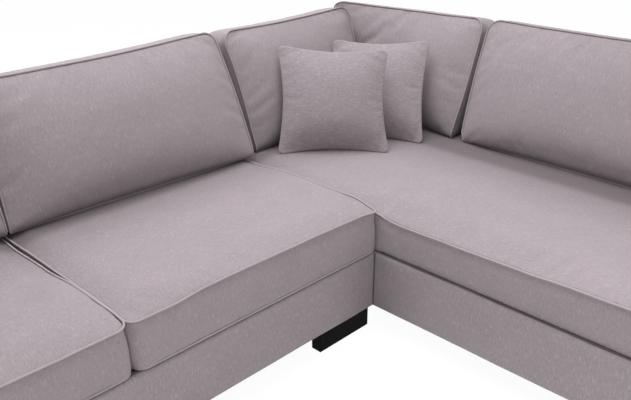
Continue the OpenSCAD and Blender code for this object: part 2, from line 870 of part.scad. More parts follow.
// Padded panels that close the open end of the right wing: base, and back
module right_end_cover() {
    color(fabric) placed() difference() {
        along_y(-wing_reach, right_y0) polygon(rounded([[0, foot_h], [x_back - module_gap, foot_h],
            [x_back - module_gap, z_deck], [0, z_deck]], [6, 0, 0, 12]));
        screw_holes(block_screws);
    }
}

module right_back_end_cover() {
    color(fabric) placed() difference() {
        along_y(-wing_reach, right_y0) translate([x_back, 0])
            back_end_section(depth_right - x_back, foot_h);
        screw_holes(block_screws);
    }
}

// Corner: back frame and upholstery

module corner_posts() {
    color(timber) placed() for (x = corner_post_x) {
        along_x(x, x + board) translate([y_back, 0]) post_section(depth_left - skin - y_back);
    }
}

// The corner's top, tail and lumbar rails run to the right wing's back frame
module corner_rails() {
    rear = depth_left - skin - y_back;
    right_top = x_back + recline(z_post1);
    color(timber) placed() difference() {
        union() {
            along_x(skin + board, right_top) translate([y_back, 0]) top_rail_section(rear);
            along_x(skin + board, x_back + rear_rail1) translate([y_back, 0])
                tail_rail_section(rear);
            for (i = [0:1]) {
                along_x(corner_post_x[i] + board, corner_post_x[i + 1])
                    translate([y_back, 0]) lumbar_rail_section();
            }
        }
        screw_holes(block_screws);
    }
}

module corner_back_pad() {
    color(fabric) placed() intersection() {
        along_x(module_gap, depth_right) translate([y_back, 0]) back_pad_section();
        along_y(0, depth_left) translate([x_back, 0]) front_of_back_section(x_back + 10);
    }
}

module corner_back_cover() {
    color(fabric) placed() difference() {
        along_x(module_gap, depth_right) translate([y_back, 0])
            back_cover_section(depth_left - y_back);
        difference() {
            span([x_back / 2, 0, 0], [depth_right + 10, right_y1, z_back + 10]);
            along_y(-10, depth_left) translate([x_back, 0]) front_of_back_section(x_back);
        }
        screw_holes(block_screws);
    }
}

// Fittings

module spring_clips() {
    rail_front = skin + board;
    color(steel) placed() {
        for (x = left_spring_x) {
            translate([x, rail_front, z_wire]) spring_clip(eye_left);
            translate([x, y_back + rear_rail0, z_wire]) mirror([0, 1, 0]) spring_clip(eye_left);
        }
        for (y = right_spring_y) {
            translate([rail_front, y, z_wire]) rotate([0, 0, -90]) spring_clip(eye_right);
            translate([x_back + rear_rail0, y, z_wire]) rotate([0, 0, 90]) spring_clip(eye_right);
        }
    }
}

// Two steel plates under the frames join the wings
plate_w = 60;
plate_x0 = x_left1 - board;
plate_x1 = skin + board;
plate_y = [y_back * 0.25, y_back * 0.75];
plate_screw_places = [for (y = plate_y) each
    [for (x = [plate_x0 + board / 2, plate_x1 - board / 2], dy = [-plate_w / 4, plate_w / 4])
        [x, y + dy]]];
module screw_holes_plates() {
    for (p = plate_screw_places) {
        translate([p.x, p.y, z_rail0 - plate_t - 3])
            cylinder(h = plate_t + 3 + 30 + screw_gap, d = plate_screw_d + 2 * screw_gap, $fn = 32);
    }
}

module joining_plates() {
    color(steel) placed() difference() {
        for (y = plate_y) {
            span([plate_x0, y - plate_w / 2, z_rail0 - plate_t], [plate_x1, y + plate_w / 2, z_rail0]);
        }
        screw_holes_plates();
    }
}

module joining_screws() {
    color(steel) placed() for (p = plate_screw_places) {
        translate([p.x, p.y, z_rail0 - plate_t]) {
            cylinder(h = plate_t + 30, d = plate_screw_d, $fn = 32);
            translate([0, 0, -2]) cylinder(h = 2, d = plate_screw_d * 2, $fn = 32);
        }
    }
}

module inner_block_foot() {
    color(black_wood) placed() block_foot(left_feet[0]);
}

module block_feet() {
    color(black_wood) placed() for (i = [1:len(all_feet) - 1]) {
        block_foot(all_feet[i]);
    }
}

// Turned round feet under the middle of the wings, with a flange under the cloth
module support_feet() {
    top = z_rail0 - dust_t;
    color(black_wood) placed() for (p = support_places) {
        difference() {
            translate([p.x, p.y, 0]) rotate_extrude($fn = 48) polygon([[0, 0],
                [support_r * 0.72, 0], [support_r * 0.8, 3], [support_r, top - 8],
                [support_r * 1.25, top - 6], [support_r * 1.25, top], [0, top]]);
            screw_holes([p]);
        }
    }
}

module foot_screws() {
    color(steel) placed() for (p = concat(block_screws, support_places)) {
        translate([p.x, p.y, screw_z0]) cylinder(h = screw_z1 - screw_z0, d = screw_d, $fn = 32);
    }
}

// Seat cushions

left_seat_y0 = setback_left;
left_seat_y1 = y_back - soft_gap;
outer_lo = [x_outer0, left_seat_y0];
outer_hi = [x_outer1, left_seat_y1];
inner_lo = [x_inner0, left_seat_y0];
inner_hi = [x_inner1, left_seat_y1];
long_lo = [setback_right, -wing_reach + setback_end];
long_hi = [x_back - soft_gap, y_back - soft_gap];

module seat_cover(lo, hi, nx, ny) {
    difference() {
        seat_form(lo, hi, nx, ny);
        seat_core_box(lo, hi, soft_gap);
    }
}

module seat_outer_left() {
    color(fabric_light) placed() seat_cover(outer_lo, outer_hi, 7, 6);
}
module seat_inner_left() {
    color(fabric_light) placed() seat_cover(inner_lo, inner_hi, 7, 6);
}
module seat_long_right() {
    color(fabric_light) placed() seat_cover(long_lo, long_hi, 6, 10);
}
module seat_core_outer_left() {
    color(foam) placed() seat_core_box(outer_lo, outer_hi, 0);
}
module seat_core_inner_left() {
    color(foam) placed() seat_core_box(inner_lo, inner_hi, 0);
}
module seat_core_long_right() {
    color(foam) placed() seat_core_box(long_lo, long_hi, 0);
}

// Back cushions

left_split = x_inner0 + bc_gap;
module back_outer_left() {
    color(fabric) placed() translate([0, seat_show_left, 0])
        back_form(x_arm1 + bc_gap, left_split - bc_gap, [0.25, 0.25]);
}
module back_inner_left() {
    color(fabric) placed() translate([0, seat_show_left, 0])
        back_form(left_split, bc_over, [0.25, 1.1], tops = [-bc_dip, 0], top_draw = bc_draw,
            right_pull = -bc_side_bulge);
}
module back_corner_left() {
    color(fabric) placed() translate([0, seat_show_left, 0])
        back_form(bc_corner_start, seat_show_right - bc_corner_gap, [0.25, 0],
            tops = [-bc_corner_dip, 0], flare = bc_flare);
}

// The right wing's cushions are the same form turned to face -X. The first one stands
// in the corner and follows the corner's leaning back with its far side.
module facing_right_wing(y) {
    translate([seat_show_right, y, 0]) rotate([0, 0, -90]) children();
}
module back_corner_right() {
    length = y_back - soft_gap - bc_split;
    color(fabric) placed() facing_right_wing(y_back - soft_gap)
        back_form(0, length, [0, 0.7], turn = 3, left_wall = 1);
}
module back_long_right() {
    color(fabric) placed() facing_right_wing(bc_split - bc_split_gap)
        back_form(0, bc_long_w, [0.9, 1.1], tops = [4, bc_raise], flare = bc_long_flare,
            left_pull = -bc_end_bulge, right_pull = -bc_end_bulge);
}

// Scatter cushions

module scatter_front() {
    color(fabric) placed() scatter_at(scatter_x, scatter_y, -scatter_turn, scatter_lean);
}
module scatter_rear() {
    color(fabric) placed()
        scatter_at(scatter_rear_x, scatter_rear_y, -scatter_rear_turn, scatter_rear_lean);
}

left_front_rail();
left_rear_rail();
left_cross_rails();
left_back_posts();
left_top_rail();
left_tail_rail();
left_lumbar_rails();
left_springs();
left_webbing();
left_deck_pad();
left_dust_cover();
left_front_cover();
left_back_pad();
left_back_cover();
left_back_end_cover();
arm_frame_boards();
arm_cover();
arm_front_facing();
arm_rear_facing();
right_front_rail();
right_rear_rail();
right_cross_rails();
right_back_posts();
right_top_rail();
right_tail_rail();
right_lumbar_rails();
right_springs();
right_webbing();
right_deck_pad();
right_dust_cover();
right_front_cover();
right_back_pad();
right_back_cover();
right_end_cover();
right_back_end_cover();
corner_posts();
corner_rails();
corner_back_pad();
corner_back_cover();
spring_clips();
joining_plates();
joining_screws();
inner_block_foot();
block_feet();
support_feet();
foot_screws();
seat_outer_left();
seat_inner_left();
seat_long_right();
seat_core_outer_left();
seat_core_inner_left();
seat_core_long_right();
back_outer_left();
back_inner_left();
back_corner_left();
back_corner_right();
back_long_right();
scatter_front();
scatter_rear();
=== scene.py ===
"""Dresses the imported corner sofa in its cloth, timber and steel, and lights it on a pale floor."""

from __future__ import annotations

import json
import logging
import math
from dataclasses import dataclass, field
from enum import Enum
from typing import Callable, Sequence, Union

import bmesh
import bpy
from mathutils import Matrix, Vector
from mathutils import noise as lumps


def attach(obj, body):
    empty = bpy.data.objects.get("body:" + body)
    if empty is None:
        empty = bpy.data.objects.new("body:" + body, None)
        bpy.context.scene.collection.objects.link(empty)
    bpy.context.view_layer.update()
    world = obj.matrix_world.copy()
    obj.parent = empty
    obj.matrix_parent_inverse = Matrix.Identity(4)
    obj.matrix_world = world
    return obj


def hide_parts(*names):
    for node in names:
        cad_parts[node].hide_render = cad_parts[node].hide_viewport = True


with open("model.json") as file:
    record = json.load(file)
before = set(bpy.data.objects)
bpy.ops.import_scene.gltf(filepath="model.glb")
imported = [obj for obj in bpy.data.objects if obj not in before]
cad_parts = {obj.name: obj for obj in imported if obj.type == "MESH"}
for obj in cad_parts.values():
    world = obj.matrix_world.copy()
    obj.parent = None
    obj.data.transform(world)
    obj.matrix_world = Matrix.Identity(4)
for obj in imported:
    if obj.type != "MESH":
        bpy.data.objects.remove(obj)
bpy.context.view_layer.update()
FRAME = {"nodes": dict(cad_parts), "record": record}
LOG = logging.getLogger("corner_sofa")
ROOT = "sofa_frame"

Colour = tuple[float, float, float]
Flat = tuple[float, float]
Place = Callable[[float, float, float], Vector]
Piece = bpy.types.Object
Socket = bpy.types.NodeSocket
Feed = Union[bpy.types.NodeSocket, float, Colour]

WEAVE = "Weave"
SEAM_SHADE = "Seam"
SHADE = "Shade"
WHITE = (1.0, 1.0, 1.0)
SWELL_FRAMES = 20
WANDER_SEED = 2
TINY = 1e-9


class Thread(Enum):
    """The way the slubs of a piece of cloth run, in its own UV map."""

    UPRIGHT = (1.0, 0.16)
    LEVEL = (0.16, 1.0)


class Axis(Enum):
    """The way a length runs: X along the left wing, Y along the right wing."""

    X = 0
    Y = 1


@dataclass(frozen=True)
class Plan:
    """The sofa's own sizes in metres, laid out from the inner corner of the base as in the CAD."""

    x_mid: float = -0.49075
    y_mid: float = -0.00025
    slope: float = math.tan(math.radians(18.4))
    gap: float = 0.0003
    skin: float = 0.006
    turn_under: float = 0.052
    rail_lip: float = 0.022
    foot_h: float = 0.075
    rail_top: float = 0.262
    deck: float = 0.280
    seat_bottom: float = 0.2803
    seat_edge: float = 0.4253
    seat_crown: float = 0.020
    cushion_bottom: float = 0.4456
    cushion_h: float = 0.455
    cushion_t: float = 0.150
    pad_t: float = 0.025
    pad_top: float = 0.795
    back_top: float = 0.820
    depth_left: float = 0.9995
    depth_right: float = 1.0895
    y_face: float = 0.660
    x_face: float = 0.750
    y_pad: float = 0.810
    x_pad: float = 0.900
    x_arm0: float = -2.071
    x_arm1: float = -1.871
    arm_h: float = 0.620
    open_end: float = -1.000

    def row(self, x: float, y: float, z: float) -> Vector:
        """A point of the inner corner's frame in the sofa's own frame."""
        return Vector((x - self.x_mid, y - self.y_mid, z))

    def recline(self, z: float) -> float:
        """How far the back leans behind its padding line at height z."""
        return max(0.0, z - self.cushion_bottom) * self.slope


PLAN = Plan()


def clamp(value: float, low: float = 0.0, high: float = 1.0) -> float:
    """A value held between two limits."""
    return max(low, min(value, high))


def ease(share: float) -> float:
    """A share from 0 to 1 that starts and ends softly."""
    return share * share * (3 - 2 * share)


def tinted(colour: Colour, tint: Colour) -> Colour:
    """A colour with each part multiplied by a tint's."""
    return tuple(part * factor for part, factor in zip(colour, tint))


class NodeBoard:
    """The nodes of a material or a world, with helpers that lay them out."""

    def __init__(self, tree: bpy.types.NodeTree) -> None:
        """Starts with an empty tree.

        Args:
            tree: The node tree to fill.
        """
        self.nodes, self.links = tree.nodes, tree.links
        self.nodes.clear()

    def feed(self, socket: Socket, value: Feed) -> None:
        """Links an input to another socket, or sets its constant.

        Args:
            socket: The input.
            value: A socket, a number or a colour.
        """
        if isinstance(value, bpy.types.NodeSocket):
            self.links.new(value, socket)
        else:
            socket.default_value = (*value, 1.0) if isinstance(value, tuple) else value

    def math(self, kind: str, a: Feed, b: Feed) -> Socket:
        """A math node.

        Args:
            kind: Its operation.
            a: The first input.
            b: The second input.

        Returns:
            Its value socket.
        """
        node = self.nodes.new("ShaderNodeMath")
        node.operation = kind
        self.feed(node.inputs[0], a)
        self.feed(node.inputs[1], b)
        return node.outputs[0]

    def plus(self, a: Feed, b: Feed) -> Socket:
        """The sum of two inputs."""
        return self.math("ADD", a, b)

    def minus(self, a: Feed, b: Feed) -> Socket:
        """The first input less the second."""
        return self.math("SUBTRACT", a, b)

    def times(self, a: Feed, b: Feed) -> Socket:
        """The product of two inputs."""
        return self.math("MULTIPLY", a, b)

    def larger(self, a: Feed, b: Feed) -> Socket:
        """The larger of two inputs."""
        return self.math("MAXIMUM", a, b)

    def backdrop_ray(self) -> Socket:
        """Tells the rays that see the background itself, straight, mirrored or through glass.

        Returns:
            A socket that is 1 for such a ray.
        """
        path = self.nodes.new("ShaderNodeLightPath").outputs
        bent = self.larger(path["Is Glossy Ray"], path["Is Transmission Ray"])
        return self.larger(path["Is Camera Ray"], bent)

    def glow(self, kind: str, colour: Colour, strength: float) -> Socket:
        """A shader that shines by itself.

        Args:
            kind: The node's type, Emission or Background.
            colour: Its colour.
            strength: Its strength.

        Returns:
            Its shader socket.
        """
        node = self.nodes.new("ShaderNode" + kind)
        self.feed(node.inputs["Color"], colour)
        self.feed(node.inputs["Strength"], strength)
        return node.outputs[0]

    def mix_shaders(self, factor: Socket, low: Socket, high: Socket) -> Socket:
        """Blends two shaders.

        Args:
            factor: 0 for the first, 1 for the second.
            low: The first shader.
            high: The second shader.

        Returns:
            The blended shader's socket.
        """
        node = self.nodes.new("ShaderNodeMixShader")
        for socket, value in zip(node.inputs, (factor, low, high)):
            self.links.new(value, socket)
        return node.outputs[0]


class NodeTree(NodeBoard):
    """One material's nodes round its principled shader."""

    def __init__(self, name: str) -> None:
        """Starts a material with its shader and output.

        Args:
            name: The material's name.
        """
        self.material = bpy.data.materials.new(name)
        self.material.use_nodes = True
        super().__init__(self.material.node_tree)
        self.output = self.nodes.new("ShaderNodeOutputMaterial")
        self.shader = self.nodes.new("ShaderNodeBsdfPrincipled")
        self.links.new(self.shader.outputs[0], self.output.inputs["Surface"])

    def set(self, **values: float | Colour) -> None:
        """Sets constant values on the shader's own sockets, by name with underscores."""
        for key, value in values.items():
            self.feed(self.shader.inputs[key.replace("_", " ")], value)

    def coordinates(self, uv: str | None, scale: Sequence[float]) -> Socket:
        """Scaled coordinates of the piece.

        Args:
            uv: Name of the UV map, or None for Object coordinates.
            scale: Scale along each coordinate.

        Returns:
            The Mapping node's socket.
        """
        if uv is None:
            source = self.place()
        else:
            uv_map = self.nodes.new("ShaderNodeUVMap")
            uv_map.uv_map = uv
            source = uv_map.outputs["UV"]
        mapping = self.nodes.new("ShaderNodeMapping")
        mapping.inputs["Scale"].default_value = tuple(scale)
        self.links.new(source, mapping.inputs["Vector"])
        return mapping.outputs["Vector"]

    def place(self) -> Socket:
        """The piece's Object coordinates."""
        return self.nodes.new("ShaderNodeTexCoord").outputs["Object"]

    def noise(self, vector: Socket, detail: float = 2.0, roughness: float = 0.5,
              scale: float = 1.0) -> Socket:
        """A noise texture.

        Args:
            vector: Its coordinates.
            detail: How many finer layers it has.
            roughness: How strong the finer layers are.
            scale: Its scale.

        Returns:
            Its value socket.
        """
        node = self.nodes.new("ShaderNodeTexNoise")
        for key, value in (("Vector", vector), ("Scale", scale), ("Detail", detail),
                           ("Roughness", roughness)):
            self.feed(node.inputs[key], value)
        return node.outputs["Fac"]

    def wave(self, vector: Socket, scale: float, distortion: float,
             direction: str = "X") -> Socket:
        """A wave of bands.

        Args:
            vector: Its coordinates.
            scale: Its scale.
            distortion: How much the bands wander.
            direction: The way they follow each other, X, Y or DIAGONAL.

        Returns:
            Its value socket.
        """
        node = self.nodes.new("ShaderNodeTexWave")
        node.bands_direction = direction
        for key, value in (("Vector", vector), ("Scale", scale), ("Distortion", distortion),
                           ("Detail", 2.0)):
            self.feed(node.inputs[key], value)
        return node.outputs["Fac"]

    def attribute(self, name: str) -> Socket:
        """The value of a float attribute of the piece.

        Args:
            name: The attribute's name.

        Returns:
            Its value socket.
        """
        node = self.nodes.new("ShaderNodeAttribute")
        node.attribute_name = name
        return node.outputs["Fac"]

    def height(self) -> Socket:
        """The height above the floor.

        Returns:
            The height's socket.
        """
        node = self.nodes.new("ShaderNodeSeparateXYZ")
        self.links.new(self.place(), node.inputs["Vector"])
        return node.outputs["Z"]

    def beside(self, point: Vector) -> Socket:
        """The distance from the upright line through a point.

        Args:
            point: The point.

        Returns:
            The distance's socket.
        """
        value = self.place()
        for kind, constant, output in (("SUBTRACT", tuple(point), "Vector"),
                                       ("MULTIPLY", (1.0, 1.0, 0.0), "Vector"),
                                       ("LENGTH", None, "Value")):
            node = self.nodes.new("ShaderNodeVectorMath")
            node.operation = kind
            self.links.new(value, node.inputs[0])
            if constant is not None:
                node.inputs[1].default_value = constant
            value = node.outputs[output]
        return value

    def ramp(self, value: Socket, stops: Sequence[Flat]) -> Socket:
        """Maps a value through grey stops.

        Args:
            value: The value.
            stops: Each stop's position and grey.

        Returns:
            The mapped value's socket.
        """
        node = self.nodes.new("ShaderNodeValToRGB")
        ramp = node.color_ramp
        while len(ramp.elements) < len(stops):
            ramp.elements.new(0.5)
        for element, (position, grey) in zip(ramp.elements, stops):
            element.position = position
            element.color = (grey, grey, grey, 1.0)
        self.links.new(value, node.inputs["Fac"])
        return node.outputs["Color"]

    def mix(self, factor: Feed, low: Feed, high: Feed) -> Socket:
        """Mixes two colours.

        Args:
            factor: 0 for the first, 1 for the second.
            low: The first colour.
            high: The second colour.

        Returns:
            The mixed colour's socket.
        """
        node = self.nodes.new("ShaderNodeMix")
        node.data_type = "RGBA"
        for index, value in ((0, factor), (6, low), (7, high)):
            self.feed(node.inputs[index], value)
        return node.outputs[2]

    def bump(self, height: Socket, strength: float, distance: float,
             under: Socket | None = None) -> Socket:
        """A bump.

        Args:
            height: Its height.
            strength: Its strength.
            distance: How far it stands out, in metres.
            under: The normal of a bump that it lies on.

        Returns:
            Its normal socket.
        """
        node = self.nodes.new("ShaderNodeBump")
        for key, value in (("Strength", strength), ("Distance", distance), ("Height", height)):
            self.feed(node.inputs[key], value)
        if under is not None:
            self.links.new(under, node.inputs["Normal"])
        return node.outputs["Normal"]

    def colour(self, socket: Socket) -> None:
        """Links the shader's base colour."""
        self.links.new(socket, self.shader.inputs["Base Color"])

    def normal(self, socket: Socket) -> None:
        """Links the shader's normal."""
        self.links.new(socket, self.shader.inputs["Normal"])

    def rough(self, socket: Socket) -> None:
        """Links the shader's roughness."""
        self.links.new(socket, self.shader.inputs["Roughness"])


@dataclass(frozen=True)
class SlubCloth:
    """The sofa's woven cover: a fine weave with light and dark slubs and a soft mottle.

    Attributes:
        name: The material's name.
        base: Colour of the weave.
        dark: Colour of the dark slubs.
        light: Colour of the light slubs.
        thread: The way the slubs run.
        slub: How strongly they show.
        shade_painted: Whether the piece's Seam and Shade attributes paint shade on it.
        shaded_edge: Height of an edge below which shade is painted on the cloth, or None.
        deep: Tint of the cloth where shade is painted on it.
        worn: Tint of the paler patches of the mottle.
        long_scale: Long slubs in a metre, and likewise for the other scales.
    """

    name: str
    base: Colour
    dark: Colour
    light: Colour
    thread: Thread = Thread.UPRIGHT
    slub: float = 1.0
    shade_painted: bool = False
    shaded_edge: float | None = None
    deep: Colour = (0.215, 0.195, 0.20)
    worn: Colour = (1.07, 1.05, 1.05)
    long_scale: float = 260.0
    fine_scale: float = 560.0
    speck_scale: float = 430.0
    mottle_scale: float = 9.0
    thread_scale: float = 420.0

    def material(self) -> bpy.types.Material:
        """Builds the cloth.

        Returns:
            The finished material.
        """
        tree = NodeTree(self.name)
        tree.set(Roughness=0.9, Specular_IOR_Level=0.25, Sheen_Weight=0.12, Sheen_Roughness=0.5,
                 Sheen_Tint=(0.9, 0.86, 0.87))
        across, along = self.thread.value

        def drawn(scale: float, detail: float, roughness: float) -> Socket:
            """Slubs drawn out along the thread."""
            spread = (scale * across, scale * along, scale)
            return tree.noise(tree.coordinates(WEAVE, spread), detail, roughness)

        def even(scale: float, detail: float, roughness: float) -> Socket:
            """Spots that are as long as they are wide."""
            return tree.noise(tree.coordinates(WEAVE, (scale,) * 3), detail, roughness)

        light = tree.ramp(drawn(self.long_scale, 2.0, 0.55), ((0.55, 0.0), (0.72, 1.0)))
        dark = tree.ramp(drawn(self.fine_scale, 1.0, 0.5), ((0.30, 1.0), (0.46, 0.0)))
        speck = tree.ramp(even(self.speck_scale, 1.0, 0.5), ((0.60, 0.0), (0.74, 1.0)))
        mottle = tree.ramp(even(self.mottle_scale, 3.0, 0.6), ((0.35, 0.0), (0.65, 1.0)))
        shade = tree.mix(mottle, self.base, tinted(self.base, self.worn))
        shade = tree.mix(tree.times(dark, 0.55 * self.slub), shade, self.dark)
        shade = tree.mix(tree.times(light, 0.60 * self.slub), shade, self.light)
        shade = tree.mix(tree.times(speck, 0.25 * self.slub), shade, self.light)
        # Painted shade beside the seams, where the Shade attribute says, and under the seat
        # cushions' edge.
        if self.shade_painted:
            shade = self.paint_seam_and_contact_shade(tree, shade)
        if self.shaded_edge is not None:
            shade = self.paint_edge_and_corner_shade(tree, shade)
        tree.colour(shade)
        threads = tree.coordinates(WEAVE, (1.0, 1.0, 1.0))
        weave = tree.times(tree.wave(threads, self.thread_scale, 1.5, "X"),
                           tree.wave(threads, self.thread_scale, 1.5, "Y"))
        height = tree.plus(tree.times(weave, 0.5), tree.minus(light, tree.times(dark, 0.6)))
        creases = tree.noise(tree.coordinates(WEAVE, (14, 7, 10)), 2.0, 0.45)
        tree.normal(tree.bump(creases, 0.25, 0.004, under=tree.bump(height, 0.35, 0.0006)))
        return tree.material

    def paint_seam_and_contact_shade(self, tree: NodeTree, shade: Socket) -> Socket:
        """Paints shade on the cloth beside its seams and where its Shade attribute says.

        Args:
            tree: The material's nodes.
            shade: The cloth's colour.

        Returns:
            The darkened colour.
        """
        # Painted shade in the crease beside each piped seam, joined with the shade that the Shade
        # attribute paints.
        seam_shade = tree.ramp(tree.attribute(SEAM_SHADE), ((0.58, 0.0), (0.80, 1.0)))
        depth = tree.larger(tree.times(seam_shade, 0.55), tree.attribute(SHADE))
        return tree.mix(depth, shade, tinted(self.base, self.deep))

    def paint_edge_and_corner_shade(self, tree: NodeTree, shade: Socket) -> Socket:
        """Paints shade on the cloth under the seat cushions and in the inner corner.

        Args:
            tree: The material's nodes.
            shade: The cloth's colour.

        Returns:
            The darkened colour.
        """
        # Painted shade on the upper edge and the ledge under the seat cushions.
        height = tree.minus(tree.height(), self.shaded_edge - 0.016)
        shadow = tree.ramp(tree.times(height, 50.0),
                           ((0.20, 0.0), (0.60, 0.28), (0.75, 0.42), (0.785, 1.0)))
        # Painted shade round the inner corner, with a dark painted line in its crease.
        near = tree.beside(PLAN.row(0.0, 0.0, 0.0))
        corner = tree.ramp(tree.times(near, 5.0), ((0.0, 0.26), (1.0, 0.0)))
        line = tree.ramp(tree.times(near, 100.0), ((0.28, 0.85), (0.52, 0.0)))
        depth = tree.larger(tree.times(shadow, 0.95), tree.larger(corner, line))
        return tree.mix(depth, shade, tinted(self.base, self.deep))


@dataclass(frozen=True)
class PlainCloth:
    """Lining, webbing or piping: one colour of thread in a visible weave."""

    name: str
    base: Colour
    high: Colour
    ribs: float
    roughness: float = 0.85

    def material(self) -> bpy.types.Material:
        """Builds the cloth.

        Returns:
            The finished material.
        """
        tree = NodeTree(self.name)
        tree.set(Roughness=self.roughness, Specular_IOR_Level=0.25)
        vector = tree.coordinates(None, (1.0, 1.0, 1.0))
        ribs = tree.wave(vector, self.ribs, 1.0, "DIAGONAL")
        fuzz = tree.noise(vector, 3.0, 0.6, scale=self.ribs * 0.8)
        tree.colour(tree.mix(tree.times(ribs, fuzz), self.base, self.high))
        tree.normal(tree.bump(tree.plus(ribs, fuzz), 0.4, 0.0005))
        return tree.material


@dataclass(frozen=True)
class Timber:
    """Sawn timber with its growth rings drawn out along one axis."""

    name: str
    base: Colour
    ring: Colour
    along: tuple[float, float, float]
    roughness: float = 0.65
    gloss: float = 0.35

    def material(self) -> bpy.types.Material:
        """Builds the timber.

        Returns:
            The finished material.
        """
        tree = NodeTree(self.name)
        tree.set(Specular_IOR_Level=self.gloss)
        vector = tree.coordinates(None, self.along)
        rings = tree.wave(vector, 9.0, 5.0, "DIAGONAL")
        pores = tree.noise(vector, 4.0, 0.65, scale=160.0)
        blend = tree.plus(tree.times(rings, 0.6), tree.times(pores, 0.4))
        tree.colour(tree.mix(blend, self.base, self.ring))
        tree.rough(tree.plus(tree.times(pores, 0.2), self.roughness - 0.1))
        tree.normal(tree.bump(pores, 0.2, 0.0006))
        return tree.material


@dataclass(frozen=True)
class Steel:
    """Zinc plated steel with a fine brushed grain."""

    name: str
    base: Colour
    roughness: float = 0.38

    def material(self) -> bpy.types.Material:
        """Builds the steel.

        Returns:
            The finished material.
        """
        tree = NodeTree(self.name)
        tree.set(Metallic=1.0)
        grain = tree.noise(tree.coordinates(None, (60, 600, 600)), 2.0, 0.5)
        cloud = tree.noise(tree.coordinates(None, (25, 25, 25)), 2.0, 0.5)
        tree.colour(tree.mix(cloud, self.base, tinted(self.base, (0.82,) * 3)))
        tree.rough(tree.plus(tree.times(grain, 0.2), self.roughness - 0.1))
        tree.normal(tree.bump(grain, 0.1, 0.0002))
        return tree.material


@dataclass(frozen=True)
class Foam:
    """Cut upholstery foam with open pores."""

    name: str
    base: Colour

    def material(self) -> bpy.types.Material:
        """Builds the foam.

        Returns:
            The finished material.
        """
        tree = NodeTree(self.name)
        tree.set(Roughness=0.95, Specular_IOR_Level=0.15)
        cells = tree.noise(tree.coordinates(None, (500, 500, 500)), 2.0, 0.6)
        tree.colour(tree.mix(cells, tinted(self.base, (0.85,) * 3), self.base))
        tree.normal(tree.bump(cells, 0.4, 0.001))
        return tree.material


class Finishes:
    """Every material of the sofa, each made once."""

    def __init__(self) -> None:
        """Builds the materials."""
        weave = dict(base=(0.335, 0.299, 0.317), dark=(0.215, 0.188, 0.202),
                     light=(0.470, 0.428, 0.450))
        # The seat, back and front cloths are the cover's own weave with painted shade.
        self.seat = SlubCloth("seat_cloth_painted_shade", **weave, shade_painted=True).material()
        self.back = SlubCloth("back_cloth_painted_shade", **weave, shade_painted=True).material()
        self.scatter = SlubCloth("scatter_cloth", **weave, thread=Thread.LEVEL,
                                 slub=1.45).material()
        self.base = SlubCloth("base_cloth", **weave).material()
        self.front = SlubCloth("front_cloth_painted_shade", **weave, slub=1.25,
                               shaded_edge=PLAN.deck).material()
        # The seat and panel piping is the cover's cloth painted lighter, a painted highlight along
        # the tube; the back piping keeps the cover's own colour.
        self.piping = PlainCloth("piping_cloth", (0.400, 0.359, 0.376), (0.540, 0.493, 0.512),
                                 320.0).material()
        self.back_piping = PlainCloth("back_piping_cloth", (0.330, 0.294, 0.308),
                                      (0.480, 0.438, 0.454), 320.0).material()
        self.lining = PlainCloth("lining_cloth", (0.012, 0.012, 0.013), (0.045, 0.045, 0.048),
                                 500.0).material()
        self.deck = PlainCloth("deck_cloth", (0.050, 0.046, 0.048), (0.110, 0.102, 0.106),
                               260.0).material()
        self.webbing = PlainCloth("webbing_cloth", (0.020, 0.020, 0.022), (0.090, 0.090, 0.095),
                                  180.0).material()
        self.timber = Timber("frame_timber", (0.60, 0.43, 0.26), (0.42, 0.28, 0.15),
                             (1.0, 1.0, 6.0)).material()
        self.foot = Timber("foot_timber", (0.004, 0.0035, 0.004), (0.008, 0.007, 0.008),
                           (1.0, 6.0, 6.0), 0.60, 0.04).material()
        self.steel = Steel("plated_steel", (0.56, 0.57, 0.58)).material()
        self.foam = Foam("cushion_foam", (0.85, 0.80, 0.66)).material()


